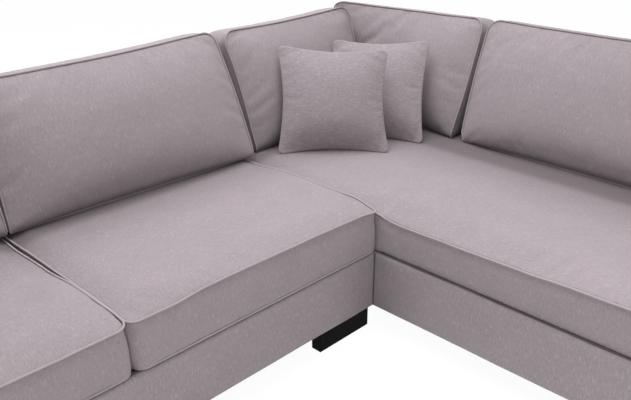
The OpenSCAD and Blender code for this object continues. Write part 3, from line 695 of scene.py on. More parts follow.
class Bench:
    """Workbench operations: each one uses Blender's own operators on one piece."""

    @staticmethod
    def clear() -> None:
        """Leaves edit mode and deselects everything."""
        if bpy.context.object and bpy.context.object.mode != "OBJECT":
            bpy.ops.object.mode_set(mode="OBJECT")
        bpy.ops.object.select_all(action="DESELECT")

    @staticmethod
    def take(piece: Piece) -> None:
        """Makes a piece the only selected and active object.

        Args:
            piece: The piece.
        """
        Bench.clear()
        piece.select_set(True)
        bpy.context.view_layer.objects.active = piece

    @staticmethod
    def select(piece: Piece, mode: str, test: Callable[[object], bool]) -> None:
        """Opens a piece in edit mode with what passes a test selected.

        Args:
            piece: The mesh object.
            mode: EDGE or FACE.
            test: Takes an edge or face of the bmesh.
        """
        Bench.take(piece)
        bpy.ops.object.mode_set(mode="EDIT")
        bpy.ops.mesh.select_mode(type=mode)
        bpy.ops.mesh.select_all(action="DESELECT")
        mesh = bmesh.from_edit_mesh(piece.data)
        for element in mesh.edges if mode == "EDGE" else mesh.faces:
            element.select = bool(test(element))
        mesh.select_flush_mode()
        bmesh.update_edit_mesh(piece.data)

    @staticmethod
    def done(piece: Piece) -> None:
        """Closes edit mode."""
        Bench.take(piece)
        bpy.ops.object.mode_set(mode="OBJECT")

    @staticmethod
    def block(name: str, low: Vector, high: Vector) -> Piece:
        """A block from corner to corner, as a start for shaping.

        Args:
            name: The piece's name.
            low: Its low corner.
            high: Its high corner.

        Returns:
            The new piece, with its place in its mesh.
        """
        Bench.clear()
        bpy.ops.mesh.primitive_cube_add(size=1.0, location=(low + high) / 2)
        piece = bpy.context.object
        piece.name = piece.data.name = name
        piece.scale = high - low
        bpy.ops.object.transform_apply(location=True, rotation=True, scale=True)
        return piece

    @staticmethod
    def bevel(piece: Piece, width: float, segments: int,
              test: Callable[[object], bool]) -> None:
        """Rounds the edges that pass a test.

        Args:
            piece: The piece.
            width: How far the rounding reaches.
            segments: How many segments it has.
            test: Takes an edge of the bmesh.
        """
        Bench.select(piece, "EDGE", test)
        bpy.ops.mesh.bevel(offset=width, offset_type="OFFSET", segments=segments, affect="EDGES")
        Bench.done(piece)

    @staticmethod
    def slice_up(piece: Piece, axis: int, spacing: float) -> None:
        """Cuts a piece across an axis at even steps, so that it can bend.

        Args:
            piece: The piece.
            axis: 0, 1 or 2 for X, Y or Z.
            spacing: The length of a step.
        """
        low = min(v.co[axis] for v in piece.data.vertices)
        high = max(v.co[axis] for v in piece.data.vertices)
        steps = max(1, round((high - low) / spacing))
        normal = [0.0, 0.0, 0.0]
        normal[axis] = 1.0
        Bench.select(piece, "FACE", lambda f: True)
        for i in range(1, steps):
            point = [0.0, 0.0, 0.0]
            point[axis] = low + (high - low) * i / steps
            bpy.ops.mesh.select_all(action="SELECT")
            bpy.ops.mesh.bisect(plane_co=point, plane_no=normal)
        Bench.done(piece)

    @staticmethod
    def sweep(name: str, section: Sequence[Vector], step: Vector, count: int) -> Piece:
        """Draws a closed section and extrudes it in steps.

        Args:
            name: The piece's name.
            section: The corners of the section, in order.
            step: One step of the extrusion.
            count: How many steps.

        Returns:
            The new piece.
        """
        Bench.clear()
        bpy.ops.mesh.primitive_circle_add(vertices=len(section), radius=0.1, fill_type="NGON")
        piece = bpy.context.object
        piece.name = piece.data.name = name
        bpy.ops.object.transform_apply(location=True, rotation=True, scale=True)
        for vertex, corner in zip(piece.data.vertices, section):
            vertex.co = corner
        bpy.ops.object.mode_set(mode="EDIT")
        bpy.ops.mesh.select_mode(type="FACE")
        bpy.ops.mesh.select_all(action="SELECT")
        for _ in range(count):
            bpy.ops.mesh.extrude_region_move(TRANSFORM_OT_translate={"value": step})
        bpy.ops.mesh.select_all(action="SELECT")
        bpy.ops.mesh.normals_make_consistent(inside=False)
        bpy.ops.object.mode_set(mode="OBJECT")
        return piece

    @staticmethod
    def tube(name: str, loops: Sequence[Sequence[Vector]], radius: float) -> Piece:
        """A round roll of cloth along one or more closed loops, turned into a mesh.

        Args:
            name: The piece's name.
            loops: The points of each loop.
            radius: The roll's radius.

        Returns:
            The new piece.
        """
        curve = bpy.data.curves.new(name, "CURVE")
        curve.dimensions = "3D"
        curve.bevel_depth = radius
        curve.bevel_resolution = 3
        for loop in loops:
            spline = curve.splines.new("POLY")
            spline.points.add(len(loop) - 1)
            for point, place in zip(spline.points, loop):
                point.co = (*place, 1.0)
            spline.use_cyclic_u = True
        piece = bpy.data.objects.new(name, curve)
        bpy.context.collection.objects.link(piece)
        Bench.take(piece)
        bpy.ops.object.convert(target="MESH")
        piece = bpy.context.object
        piece.name = piece.data.name = name
        return piece

    @staticmethod
    def smooth(piece: Piece, angle: float) -> None:
        """Smooth shading, kept sharp past an angle in degrees."""
        Bench.take(piece)
        bpy.ops.object.shade_smooth_by_angle(angle=math.radians(angle))

    @staticmethod
    def weave_uv(piece: Piece) -> None:
        """Lays the cloth on a piece by the way each face looks, in metres, thread upright.

        Args:
            piece: The piece.
        """
        mesh = piece.data
        layer = mesh.uv_layers.get(WEAVE) or mesh.uv_layers.new(name=WEAVE)
        for polygon in mesh.polygons:
            n = polygon.normal
            wide = max(range(3), key=lambda i: abs(n[i]))
            for index in polygon.loop_indices:
                p = mesh.vertices[mesh.loops[index].vertex_index].co
                layer.data[index].uv = ((p.y, p.z), (p.x, p.z), (p.x, p.y))[wide]

    @staticmethod
    def dress(piece: Piece, material: bpy.types.Material, body: str, slot: str,
              replaces: Sequence[str] = (), fill: float | None = None) -> Piece:
        """Gives a finished piece its material and body.

        Args:
            piece: The piece, in place.
            material: Its finish.
            body: The CAD body that it rides on.
            slot: The record's material slot; not used.
            replaces: The CAD nodes that it stands for.
            fill: How tightly it is stuffed, or None where it isn't padded; not used.

        Returns:
            The same piece.
        """
        piece.data.materials.clear()
        piece.data.materials.append(material)
        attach(piece, body)
        if replaces:
            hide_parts(*replaces)
        LOG.info("%s: %d faces, on %s", piece.name, len(piece.data.polygons), body)
        return piece


def rounded(corners: Sequence[Flat], radii: Sequence[float], arc: int = 5) -> list[Flat]:
    """Rounds the corners of a flat outline.

    Args:
        corners: The sharp corners, in order.
        radii: The radius at each corner.
        arc: How many segments a rounding has.

    Returns:
        The points of the rounded outline.
    """
    out: list[Flat] = []
    for i, (corner, radius) in enumerate(zip(corners, radii)):
        b = Vector(corner)
        if radius == 0:
            out.append(tuple(b))
            continue
        u = (Vector(corners[i - 1]) - b).normalized()
        v = (Vector(corners[(i + 1) % len(corners)]) - b).normalized()
        half = math.acos(clamp(u.dot(v), -1.0, 1.0)) / 2
        centre = b + (u + v).normalized() * radius / math.sin(half)
        start = b + u * radius / math.tan(half) - centre
        end = b + v * radius / math.tan(half) - centre
        a0 = math.atan2(start.y, start.x)
        turn = (math.atan2(end.y, end.x) - a0 + math.pi) % (2 * math.pi) - math.pi
        out += [tuple(centre + radius * Vector((math.cos(a0 + turn * j / arc),
                                                math.sin(a0 + turn * j / arc))))
                for j in range(arc + 1)]
    return out


def divided(points: Sequence[Flat], spacing: float) -> list[Flat]:
    """Adds points to the long sides of a closed outline.

    Args:
        points: The outline's points.
        spacing: The longest distance between two points.

    Returns:
        The points of the divided outline.
    """
    out: list[Flat] = []
    for a, b in zip(points, list(points[1:]) + [points[0]]):
        steps = max(1, round(math.dist(a, b) / spacing))
        out += [(a[0] + (b[0] - a[0]) * i / steps, a[1] + (b[1] - a[1]) * i / steps)
                for i in range(steps)]
    return out


def drift(p: Vector, scale: float, size: float, shift: float = 0.0) -> Vector:
    """A slow wander of cloth at a point, the same in every run once the seed is set."""
    return lumps.noise_vector(p * scale + Vector((shift, 1.7 * shift, -shift))) * size


Step = tuple[int, int]
Key = tuple[int, int, int]
Proud = Callable[[Vector, float, int], Flat]


def low_foot(direction: Vector, v: float, which: int) -> Flat:
    """How far a back cushion's piping stands out and up: less where it lies on the seat."""
    down = max(0.0, -direction.y)
    return 0.0010 - 0.0060 * down, 0.0014 - 0.0075 * down


@dataclass
class Cushion:
    """A cushion as two quilted faces joined by a side band, puffed up by a cloth simulation.

    Its own directions are u to the right, v up the face and w out of the face. The front rim
    lies at w = 0 and the rear rim at the end of the band.

    Attributes:
        name: The piece's name.
        node: The CAD node that it stands for.
        body: The CAD body that it rides on.
        width: Its width along u.
        height: Its height along v.
        place: Takes u, v and w to the row frame.
        band: The side band's corners as w and inset, from the front rim to the rear rim.
        radius: Radius of its upper corners.
        foot_radius: Radius of its lower corners, where it differs.
        tight_radius: Radius of its lower right corner, where it differs.
        roll: Radius by which its lower edge rolls under.
        ears: How far each corner is drawn along u and v.
        pull: How far its sides are drawn in between the corners, likewise for each named side.
        crown: Height of its front face's crown.
        rear_crown: Height of its rear face's crown.
        reach: How far the crown's slope reaches in from the left and right.
        reach_up: The same from the bottom, and from the top without reach_top.
        start: Share of the crown that the slack cloth has.
        cap: The furthest that the simulation may move a point of a face.
        band_cap: The same for the side band.
        bulge: How far the side band stands out.
        spacing: The mesh's spacing.
        fill: How tightly it is stuffed.
        rear_held: Whether its rear face stays flat.
        room: Takes a point into the space that the cushion may fill.
        piped: The rims that carry piping, 0 in front and 1 behind.
        proud: How far the piping stands out and up, from the rim's direction, v and which rim.
        shaded: How much shade is painted on the cloth at a place.
        piece: The made piece.
        rims: The points of each rim, in order.
        spots: Each point's u, v and w.
    """

    name: str
    node: str
    body: str
    width: float
    height: float
    place: Place
    band: Sequence[Flat]
    radius: float = 0.032
    foot_radius: float | None = None
    tight_radius: float | None = None
    roll: float = 0.0
    ears: Sequence[Flat] = ((0, 0), (0, 0), (0, 0), (0, 0))
    pull: float = 0.005
    base_pull: float | None = None
    left_pull: float | None = None
    right_pull: float | None = None
    crown: float = 0.020
    rear_crown: float = 0.0
    reach: float = 0.150
    reach_up: float = 0.150
    reach_top: float | None = None
    start: float = 0.55
    cap: float = 0.024
    band_cap: float = 0.012
    bulge: float = 0.0025
    spacing: float = 0.013
    fill: float = 0.85
    rear_held: bool = True
    room: Callable[[Vector], Vector] | None = None
    piped: Sequence[int] = ()
    proud: Proud = low_foot
    shaded: Callable[[Vector], float] | None = None
    piece: Piece | None = None
    rims: list[list[int]] = field(default_factory=list)
    spots: list[tuple[float, float, float]] = field(default_factory=list)

    def rim_point(self, x: float, y: float, inset: float) -> Flat:
        """Moves a point of the straight outline onto the rounded, drawn-in outline.

        Args:
            x: From -1 at the left to 1 at the right.
            y: From -1 at the bottom to 1 at the top.
            inset: How far the ring lies inside the full outline.

        Returns:
            The point's u and v.
        """
        a, b = self.width / 2 - inset, self.height / 2 - inset
        r = self.radius if y >= 0 or self.foot_radius is None else self.foot_radius
        if x > 0 > y and self.tight_radius is not None:
            r = self.tight_radius
        r = max(r - 0.6 * inset, 0.006)
        px, py = x * a, y * b
        sx, sy = (1.0 if px >= 0 else -1.0), (1.0 if py >= 0 else -1.0)
        fade = max(0.0, 1 - inset / self.reach)
        if abs(abs(y) - 1) < TINY:
            over = abs(px) - (a - r)
            if over > 0:
                angle = math.radians(45 * over / r)
                return sx * (a - r + r * math.sin(angle)), sy * (b - r + r * math.cos(angle))
            pull = self.base_pull if sy < 0 and self.base_pull is not None else self.pull
            return px, py - sy * pull * fade * math.cos(math.pi / 2 * px / (a - r))
        over = abs(py) - (b - r)
        if over > 0:
            angle = math.radians(90 - 45 * over / r)
            return sx * (a - r + r * math.sin(angle)), sy * (b - r + r * math.cos(angle))
        side = self.left_pull if sx < 0 else self.right_pull
        side = self.pull if side is None else side
        return px - sx * side * fade * math.cos(math.pi / 2 * py / (b - r)), py

    def face_grid(self, nu: int, nv: int, inset: float) -> list[list[Flat]]:
        """Spreads a face's points evenly between its four rounded sides.

        Args:
            nu: How many steps it has along u.
            nv: How many steps it has along v.
            inset: How far it lies inside the full outline.

        Returns:
            The columns of points, from the left.
        """
        def at(i: int, j: int) -> Flat:
            """The rim point at a step of the grid's edge."""
            return self.rim_point(2 * i / nu - 1, 2 * j / nv - 1, inset)

        grid = []
        for i in range(nu + 1):
            s = i / nu
            column = []
            for j in range(nv + 1):
                t = j / nv
                bottom, top, left, right = at(i, 0), at(i, nv), at(0, j), at(nu, j)
                c00, c10, c01, c11 = at(0, 0), at(nu, 0), at(0, nv), at(nu, nv)
                column.append(tuple(
                    (1 - t) * bottom[k] + t * top[k] + (1 - s) * left[k] + s * right[k]
                    - ((1 - s) * (1 - t) * c00[k] + s * (1 - t) * c10[k]
                       + (1 - s) * t * c01[k] + s * t * c11[k]) for k in (0, 1)))
            grid.append(column)
        return grid

    def swell(self, u: float, v: float, height: float) -> float:
        """Height of a crown over a point of a face.

        Args:
            u: The point's u.
            v: The point's v.
            height: The full height of the crown.

        Returns:
            Its height there.
        """
        def rise(d: float, reach: float) -> float:
            """The crown's rise at a distance from one side."""
            return 1 - (1 - clamp(d / reach)) ** 2.2

        across = rise(self.width / 2 - abs(u), self.reach)
        above = self.reach_top if v > 0 and self.reach_top else self.reach_up
        return height * across * rise(self.height / 2 - abs(v), above)

    def build(self) -> None:
        """Makes the cushion's closed quad mesh, a little slacker than its finished form."""
        nu = max(8, round(self.width / self.spacing))
        nv = max(8, round(self.height / self.spacing))
        ring = ([(i, 0) for i in range(nu)] + [(nu, j) for j in range(nv)]
                + [(i, nv) for i in range(nu, 0, -1)] + [(0, j) for j in range(nv, 0, -1)])
        last = len(self.levels()) - 1
        index = self.lay_points(nu, nv, ring)
        faces, corners = self.lay_faces(nu, nv, ring, last, index)
        mesh = bpy.data.meshes.new(self.name)
        mesh.from_pydata([self.settle(*spot) for spot in self.spots], [], faces)
        layer = mesh.uv_layers.new(name=WEAVE)
        for data, uv in zip(layer.data, corners):
            data.uv = uv
        mesh.validate()
        mesh.update()
        self.piece = bpy.data.objects.new(self.name, mesh)
        bpy.context.collection.objects.link(self.piece)
        self.rims = [[index[(level, *r)] for r in ring] for level in (0, last)]
        held = set(self.rims[0]) | set(self.rims[1])
        if self.rear_held:
            held |= {index[(last, i, j)] for i in range(nu + 1) for j in range(nv + 1)}
        self.piece.vertex_groups.new(name="Seams").add(sorted(held), 1.0, "REPLACE")
        self.mark()

    def lay_points(self, nu: int, nv: int, ring: Sequence[Step]) -> dict[Key, int]:
        """Stores the points of both faces and of the side band between them.

        Args:
            nu: How many steps a face has along u.
            nv: How many steps a face has along v.
            ring: The steps round a face's edge.

        Returns:
            Each point's number by its level and its steps along u and v.
        """
        index: dict[Key, int] = {}

        def add(key: Key, u: float, v: float, w: float) -> None:
            """Stores one point."""
            index[key] = len(self.spots)
            self.spots.append((u, v, w))

        levels = self.levels()
        last = len(levels) - 1
        front = self.face_grid(nu, nv, levels[0][1])
        rear = self.face_grid(nu, nv, levels[-1][1])
        for i in range(nu + 1):
            for j in range(nv + 1):
                u, v = front[i][j]
                add((0, i, j), u, v, levels[0][0] + self.swell(u, v, self.crown * self.start))
                u, v = rear[i][j]
                add((last, i, j), u, v,
                    levels[-1][0] - self.swell(u, v, self.rear_crown * self.start))
        for level in range(1, last):
            w, inset = levels[level]
            full = math.sin(math.pi * level / last) * self.bulge
            for i, j in ring:
                u, v = self.rim_point(2 * i / nu - 1, 2 * j / nv - 1, inset - full)
                add((level, i, j), u, v, w)
        return index

    def lay_faces(self, nu: int, nv: int, ring: Sequence[Step], last: int,
                  index: dict[Key, int]) -> tuple[list[list[int]], list[Flat]]:
        """Joins the points by quads and lays the cloth on them.

        Args:
            nu: How many steps a face has along u.
            nv: How many steps a face has along v.
            ring: The steps round a face's edge.
            last: The rear rim's level.
            index: Each point's number.

        Returns:
            The quads, and the cloth's place at each of their corners.
        """
        faces: list[list[int]] = []
        corners: list[Flat] = []
        for i in range(nu):
            for j in range(nv):
                quad = [(i, j), (i + 1, j), (i + 1, j + 1), (i, j + 1)]
                for level, turn in ((0, quad), (last, quad[::-1])):
                    faces.append([index[(level, *q)] for q in turn])
                    corners += [self.spots[index[(level, *q)]][:2] for q in turn]
        run = 0.0
        for k, a in enumerate(ring):
            b = ring[(k + 1) % len(ring)]
            width = math.dist(self.spots[index[(0, *a)]][:2], self.spots[index[(0, *b)]][:2])
            for level in range(last):
                quad = [(level + 1, *a), (level + 1, *b), (level, *b), (level, *a)]
                faces.append([index[q] for q in quad])
                w0, w1 = self.spots[index[quad[0]]][2], self.spots[index[quad[3]]][2]
                corners += [(run, w0), (run + width, w0), (run + width, w1), (run, w1)]
            run += width
        return faces, corners

    def mark(self) -> None:
        """Writes where shade is painted on the cloth: beside the piped rims and where the cushion's
        shade says.
        """
        attributes = self.piece.data.attributes
        seam_shade = attributes.new(SEAM_SHADE, "FLOAT", "POINT")
        for which in self.piped:
            for i in self.rims[which]:
                seam_shade.data[i].value = (1.0, 0.9)[which]
        if self.shaded is not None:
            shade = attributes.new(SHADE, "FLOAT", "POINT")
            for i, vertex in enumerate(self.piece.data.vertices):
                shade.data[i].value = self.shaded(vertex.co)

    def levels(self) -> list[Flat]:
        """The side band's rings, spaced like the faces.

        Returns:
            Each ring's w and inset.
        """
        out: list[Flat] = []
        for (w0, i0), (w1, i1) in zip(self.band, self.band[1:]):
            steps = max(1, round(math.hypot(w1 - w0, i1 - i0) / self.spacing))
            out += [(w0 + (w1 - w0) * k / steps, i0 + (i1 - i0) * k / steps) for k in range(steps)]
        out.append(tuple(self.band[-1]))
        return out

    def shaped(self, u: float, v: float, w: float) -> tuple[float, float, float]:
        """Rolls the lower edge under and draws the ears to their own places.

        Args:
            u: The point's u in the flat layout.
            v: Its v.
            w: Its w.

        Returns:
            Its u, v and w in the shaped cushion.
        """
        s, t = u / self.width + 0.5, v / self.height + 0.5
        depth = -self.band[-1][0]
        if self.roll:
            fade = clamp(1 + w / depth)
            d, run = v + self.height / 2, math.pi / 2 * self.roll
            if d < run:
                rise, back = self.roll * (1 - math.cos(d / self.roll)), math.sin(d / self.roll) - 1
            else:
                rise = self.roll + (d - run) / (self.height - run) * (self.height - self.roll)
                back = 0.0
            v, w = v + (rise - d) * fade, w + back * self.roll * fade
        weights = ((1 - s) * (1 - t), s * (1 - t), (1 - s) * t, s * t)
        for weight, (du, dv) in zip(weights, self.ears):
            u, v = u + du * max(weight, 0.0) ** 1.5, v + dv * max(weight, 0.0) ** 1.5
        return u, v, w

    def settle(self, u: float, v: float, w: float) -> Vector:
        """A point's place in the row frame, with the slow wander of a stuffed cushion.

        Args:
            u: The point's u in the flat layout.
            v: Its v.
            w: Its w.

        Returns:
            The place.
        """
        depth = -self.band[-1][0]
        free = clamp(1 + w / depth) if depth > 0 else 1.0
        p = self.place(*self.shaped(u, v, w))
        return p + drift(p, 5.0, 0.0016) * free + drift(p, 11.0, 0.0008, 3.0) * free

    def puff_up(self) -> None:
        """Adds the cloth that swells between the seams."""
        modifier = self.piece.modifiers.new("Cloth", "CLOTH")
        settings = modifier.settings
        settings.quality = 4
        settings.mass = 0.3
        settings.tension_stiffness = 12.0
        settings.compression_stiffness = 12.0
        settings.shear_stiffness = 4.0
        settings.bending_stiffness = 0.4
        settings.use_pressure = True
        settings.uniform_pressure_force = 4.0
        settings.shrink_min = -0.012
        settings.vertex_group_mass = "Seams"
        settings.effector_weights.gravity = 0.0
        modifier.collision_settings.use_collision = False
        modifier.collision_settings.use_self_collision = False
        modifier.point_cache.frame_start = 1
        modifier.point_cache.frame_end = SWELL_FRAMES

    def take_up(self) -> None:
        """Applies the simulation and keeps each point near its form."""
        before = [vertex.co.copy() for vertex in self.piece.data.vertices]
        Bench.take(self.piece)
        bpy.ops.object.modifier_apply(modifier="Cloth")
        depth = -self.band[-1][0]
        for vertex, old, spot in zip(self.piece.data.vertices, before, self.spots):
            move = vertex.co - old
            cap = self.band_cap if 0.001 * depth < -spot[2] < 0.999 * depth else self.cap
            if move.length > TINY:
                vertex.co = old + move.normalized() * cap * math.tanh(move.length / cap)

    def finish(self, material: bpy.types.Material, slot: str) -> None:
        """Keeps the cushion in its room, refines it and dresses it.

        Args:
            material: Its cloth.
            slot: The record's material slot.
        """
        if self.room:
            for vertex in self.piece.data.vertices:
                vertex.co = self.room(vertex.co)
        soft = self.piece.modifiers.new("Fine", "SUBSURF")
        soft.levels = soft.render_levels = 1
        Bench.smooth(self.piece, 80.0)
        Bench.dress(self.piece, material, self.body, slot, (self.node,), self.fill)

    def rim_path(self, which: int) -> list[Vector]:
        """The piping's path along a rim.

        Args:
            which: 0 for the front rim, 1 for the rear rim.

        Returns:
            The points of the loop.
        """
        path = []
        sign = 1.0 if which == 0 else -1.0
        for i in self.rims[which]:
            u, v, w = self.spots[i]
            side = Vector((u / (self.width / 2), v / (self.height / 2)))
            power = Vector((side.x * abs(side.x) ** 7, side.y * abs(side.y) ** 7))
            direction = power.normalized() if power.length > TINY else side.normalized()
            out, lift = self.proud(direction, v, which)
            path.append(self.settle(u + direction.x * out, v + direction.y * out, w + sign * lift))
        return path


@dataclass(frozen=True)
class Lip:
    """How the upper front edge of a seat cushion wanders from its straight box.

    Each station holds a place along the front, the edge's set-back and its drop there.
    """

    along: Axis
    front: float
    stations: tuple[tuple[float, float, float], ...]
    reach: float = 0.24
    inward: float = 1.0

    def at(self, run: float) -> Flat:
        """The set-back and the drop at a place along the front.

        Args:
            run: The place along the front.

        Returns:
            The set-back and the drop.
        """
        first, last = self.stations[0], self.stations[-1]
        if run <= first[0]:
            return first[1], first[2]
        for (a, back0, drop0), (b, back1, drop1) in zip(self.stations, self.stations[1:]):
            if run <= b:
                t = ease((run - a) / (b - a))
                return back0 + (back1 - back0) * t, drop0 + (drop1 - drop0) * t
        return last[1], last[2]

    def shift(self, x: float, y: float, rise: float) -> Vector:
        """The move of a point of the cushion.

        Args:
            x: The point's place along the left wing.
            y: Its place towards the back.
            rise: 0 at the cushion's lower rim, 1 from its upper rim upwards.

        Returns:
            The move.
        """
        level = self.along is Axis.X
        run, deep = (x, y - self.front) if level else (y, x - self.front)
        weight = max(0.0, 1 - max(self.inward * deep, 0.0) / self.reach) ** 2 * rise
        back, drop = self.at(run)
        return Vector((0.0, back, -drop) if level else (back, 0.0, -drop)) * weight


OUTER_LIP = Lip(Axis.X, 0.003, ((-1.9, 0.014, 0.009), (-0.93, 0.016, 0.008)))
LEFT_LIP = Lip(Axis.X, 0.003, (
    (-0.93, 0.018, 0.006), (-0.80, 0.018, 0.005), (-0.68, 0.018, -0.006), (-0.50, 0.020, -0.003),
    (-0.23, 0.024, 0.0), (-0.06, 0.018, 0.0), (0.013, 0.004, 0.0)))
LONG_LIP = Lip(Axis.Y, 0.017, (
    (-0.99, 0.005, 0.005), (-0.85, 0.005, 0.007), (-0.69, 0.005, 0.011), (-0.52, 0.005, 0.018),
    (-0.28, 0.005, 0.023), (-0.09, 0.005, 0.027), (0.0, 0.004, 0.017), (0.10, 0.0, 0.0)))
OUTER_SIDE = Lip(Axis.Y, -0.929, (
    (0.0, 0.0, 0.0), (0.09, 0.0, -0.008), (0.26, 0.0, -0.008), (0.42, -0.003, 0.004),
    (0.60, -0.006, 0.008), (0.70, -0.004, 0.004)), 0.12, -1.0)
INNER_SIDE = Lip(Axis.Y, 0.013, (
    (0.0, 0.0, 0.0), (0.11, 0.0, -0.0225), (0.42, 0.0, -0.0225), (0.60, 0.0, -0.004),
    (0.75, 0.0, 0.0)), 0.12, -1.0)


@dataclass
class CushionSet:
    """All ten cushions with their piping.

    Attributes:
        finishes: The materials.
        piping_radius: Radius of the piping.
        fall: How far a back cushion's rear edge lies below its front edge at the top.
        twist: How far the corner's right cushion turns along the other wing's cushion.
        scatter_side: Side of a scatter cushion.
        shade_start: Where the shade painted on a seat begins, on its way under the back cushions.
        foot_start: Where the back cushions stand on it, and the painted shade deepens.
        made: The made cushions.
    """

    finishes: Finishes
    piping_radius: float = 0.0032
    fall: float = 0.031
    twist: float = 0.105
    scatter_side: float = 0.410
    shade_start: float = 0.34
    foot_start: float = 0.570
    made: list[Cushion] = field(default_factory=list)

    def seat(self, name: str, low: Flat, high: Flat, lips: Sequence[Lip], proud: Proud,
             tight: float | None = None) -> Cushion:
        """A box seat cushion.

        Args:
            name: The node that it stands for.
            low: Its lower corner in the inner corner's frame.
            high: Its upper corner.
            lips: How its upper edges wander.
            proud: How far its piping stands out and up, from the rim's direction, v and
                which rim.
            tight: Radius of its front right corner, where it isn't like the others.

        Returns:
            The cushion.
        """
        cx, cy = (low[0] + high[0]) / 2, (low[1] + high[1]) / 2
        edge = PLAN.seat_edge
        thick = edge - PLAN.seat_bottom
        on_left = high[0] < 0.02

        def place(u: float, v: float, w: float) -> Vector:
            """Lays the cushion flat on the deck.

            Args:
                u: A point's u.
                v: Its v.
                w: Its w.

            Returns:
                Its place.
            """
            rise, left = clamp(1 + w / thick), 1 - clamp(w / PLAN.seat_crown)
            move = Vector((0.0, 0.0, 0.0))
            for lip in lips:
                move += lip.shift(cx + u, cy + v, rise)
            return PLAN.row(cx + u, cy + v, edge + w) + move * left

        low_row, high_row = PLAN.row(*low, 0), PLAN.row(*high, 0)

        def room(p: Vector) -> Vector:
            """Keeps the cushion between its neighbours and under the back cushions.

            Args:
                p: A point.

            Returns:
                The point inside the cushion's space.
            """
            grow = 0.0009
            spare = 0.0035 * clamp((0.50 - p.y - PLAN.y_mid) / 0.06)
            top = PLAN.cushion_bottom - 0.0004 + (spare if on_left else 0.0)
            return Vector((clamp(p.x, low_row.x - grow, high_row.x + grow),
                           clamp(p.y, low_row.y - 0.004, high_row.y),
                           clamp(p.z, PLAN.seat_bottom, top)))

        def shaded(p: Vector) -> float:
            """The shade painted on the cloth on its way back under the back cushions.

            Args:
                p: A point.

            Returns:
                The shade there.
            """
            reach = max(p.x + PLAN.x_mid, p.y + PLAN.y_mid)
            far = clamp((reach - self.shade_start) / 0.27) ** 1.3
            return 0.36 * far + 0.30 * clamp((reach - self.foot_start) / 0.045)

        inset = 0.0015
        return Cushion(name, name, name + "_body", high[0] - low[0], high[1] - low[1], place,
                       ((0.0, inset), (-thick + 0.004, inset),
                        (-thick, 0.006 if on_left else inset)),
                       radius=0.034, tight_radius=tight, pull=0.0015, crown=PLAN.seat_crown,
                       start=0.7, cap=0.016, spacing=0.014, room=room, piped=(0, 1),
                       proud=proud, shaded=shaded)

    def lean_back(self, name: str, width: float, base: Place, steps: Flat,
                  tops: Flat = (0.0, 0.0), low_shade: float = 0.0, turn: float = 1.0,
                  top_draw: float = 0.0, left_wall: float = 0.0, flare: float = 0.0,
                  left_pull: float = 0.006, right_pull: float = 0.006,
                  foot: float = 0.018) -> Cushion:
        """A leaning back cushion.

        Args:
            name: The node that it stands for.
            width: Its width.
            base: Takes u from its left end, depth behind the face plane and height above its
                foot, and returns the place in the row frame.
            steps: How far the foot of its face stands forward at its left and right end.
            tops: How much its top rises at its left and right end.
            low_shade: How much shade is painted on its foot, deep in the corner.
            turn: How late along its width the foot goes from one step to the other.
            top_draw: How far its upper right corner is drawn in.
            left_wall: 1 where its left side follows a wall that leans like the back.
            flare: How far its upper left corner reaches out.
            left_pull: How far its left side is drawn in between the corners.
            right_pull: The same for its right side.
            foot: Radius of its lower corners.

        Returns:
            The cushion.
        """
        h, thick = PLAN.cushion_h, PLAN.cushion_t - 0.0035

        def room(p: Vector) -> Vector:
            """Keeps the cushion on the seat."""
            return Vector((p.x, p.y, max(p.z, PLAN.cushion_bottom + 0.0003)))

        def shaded(p: Vector) -> float:
            """The shade painted on the cloth by the seat and deep in the corner.

            Args:
                p: A point.

            Returns:
                The shade there.
            """
            height = p.z - PLAN.cushion_bottom
            return (low_shade * clamp((0.22 - height) / 0.20)
                    + 0.45 * clamp((0.038 - height) / 0.036) ** 2)

        def place(u: float, v: float, w: float) -> Vector:
            """Leans the cushion against the back.

            Args:
                u: A point's u.
                v: Its v.
                w: Its w.

            Returns:
                Its place.
            """
            up = v / h + 0.5
            right, left = max(u / width * 2, 0.0), max(-u / width * 2, 0.0)
            s, rear = u / width + 0.5, clamp(-w / thick)
            top = tops[0] + (tops[1] - tops[0]) * s
            step = steps[0] + (steps[1] - steps[0]) * max(s, 0.0) ** turn
            z = v + h / 2 + (top - self.fall * rear) * up
            shift = (top_draw * right * ease(clamp(up / 0.95)) + flare * left * up
                     + left_wall * PLAN.slope * z * left)
            depth = (0.003 - w + PLAN.slope * z - left_wall * self.twist * left * up * up
                     - step * (1 - up) * (1 - rear))
            return base(width / 2 + u - shift, depth, z)

        return Cushion(name, name, name + "_body", width, h, place,
                       ((0.0, 0.002), (-thick + 0.016, 0.0), (-thick + 0.005, 0.005),
                        (-thick, 0.014)),
                       radius=0.050, foot_radius=foot, roll=0.022, pull=0.006, base_pull=0.0,
                       left_pull=left_pull, right_pull=right_pull, crown=0.046,
                       reach_up=0.2225, reach_top=0.175, start=0.8, cap=0.026, band_cap=0.004,
                       bulge=0.002, spacing=0.013, room=room, piped=(0,), shaded=shaded)

    def all_seats(self) -> list[Cushion]:
        """Lays out the three seat cushions.

        Returns:
            The cushions, not made yet.
        """
        rear, low = PLAN.y_pad - PLAN.gap, -0.990
        inner_corner = -(low + rear) / 2

        def left(direction: Vector, v: float, which: int) -> Flat:
            """The left wing's piping stands out along the front alone."""
            out, lift = (0.0048, 0.0022) if which == 0 else (0.0040, -0.0035)
            return -0.0006 + out * max(0.0, -direction.y), lift

        def right(direction: Vector, v: float, which: int) -> Flat:
            """The right wing's upper piping stands out as far as the inner corner.

            Args:
                direction: The way out of the rim.
                v: The point's v.
                which: 0 for the upper rim, 1 for the lower rim.

            Returns:
                How far the piping stands out and up.
            """
            open_side = max(0.0, -direction.x, -direction.y)
            out, lift = (0.0062, 0.0006) if which == 0 else (-0.0040, -0.0035)
            return -0.0006 + out * open_side * clamp((inner_corner - v) / 0.02), lift

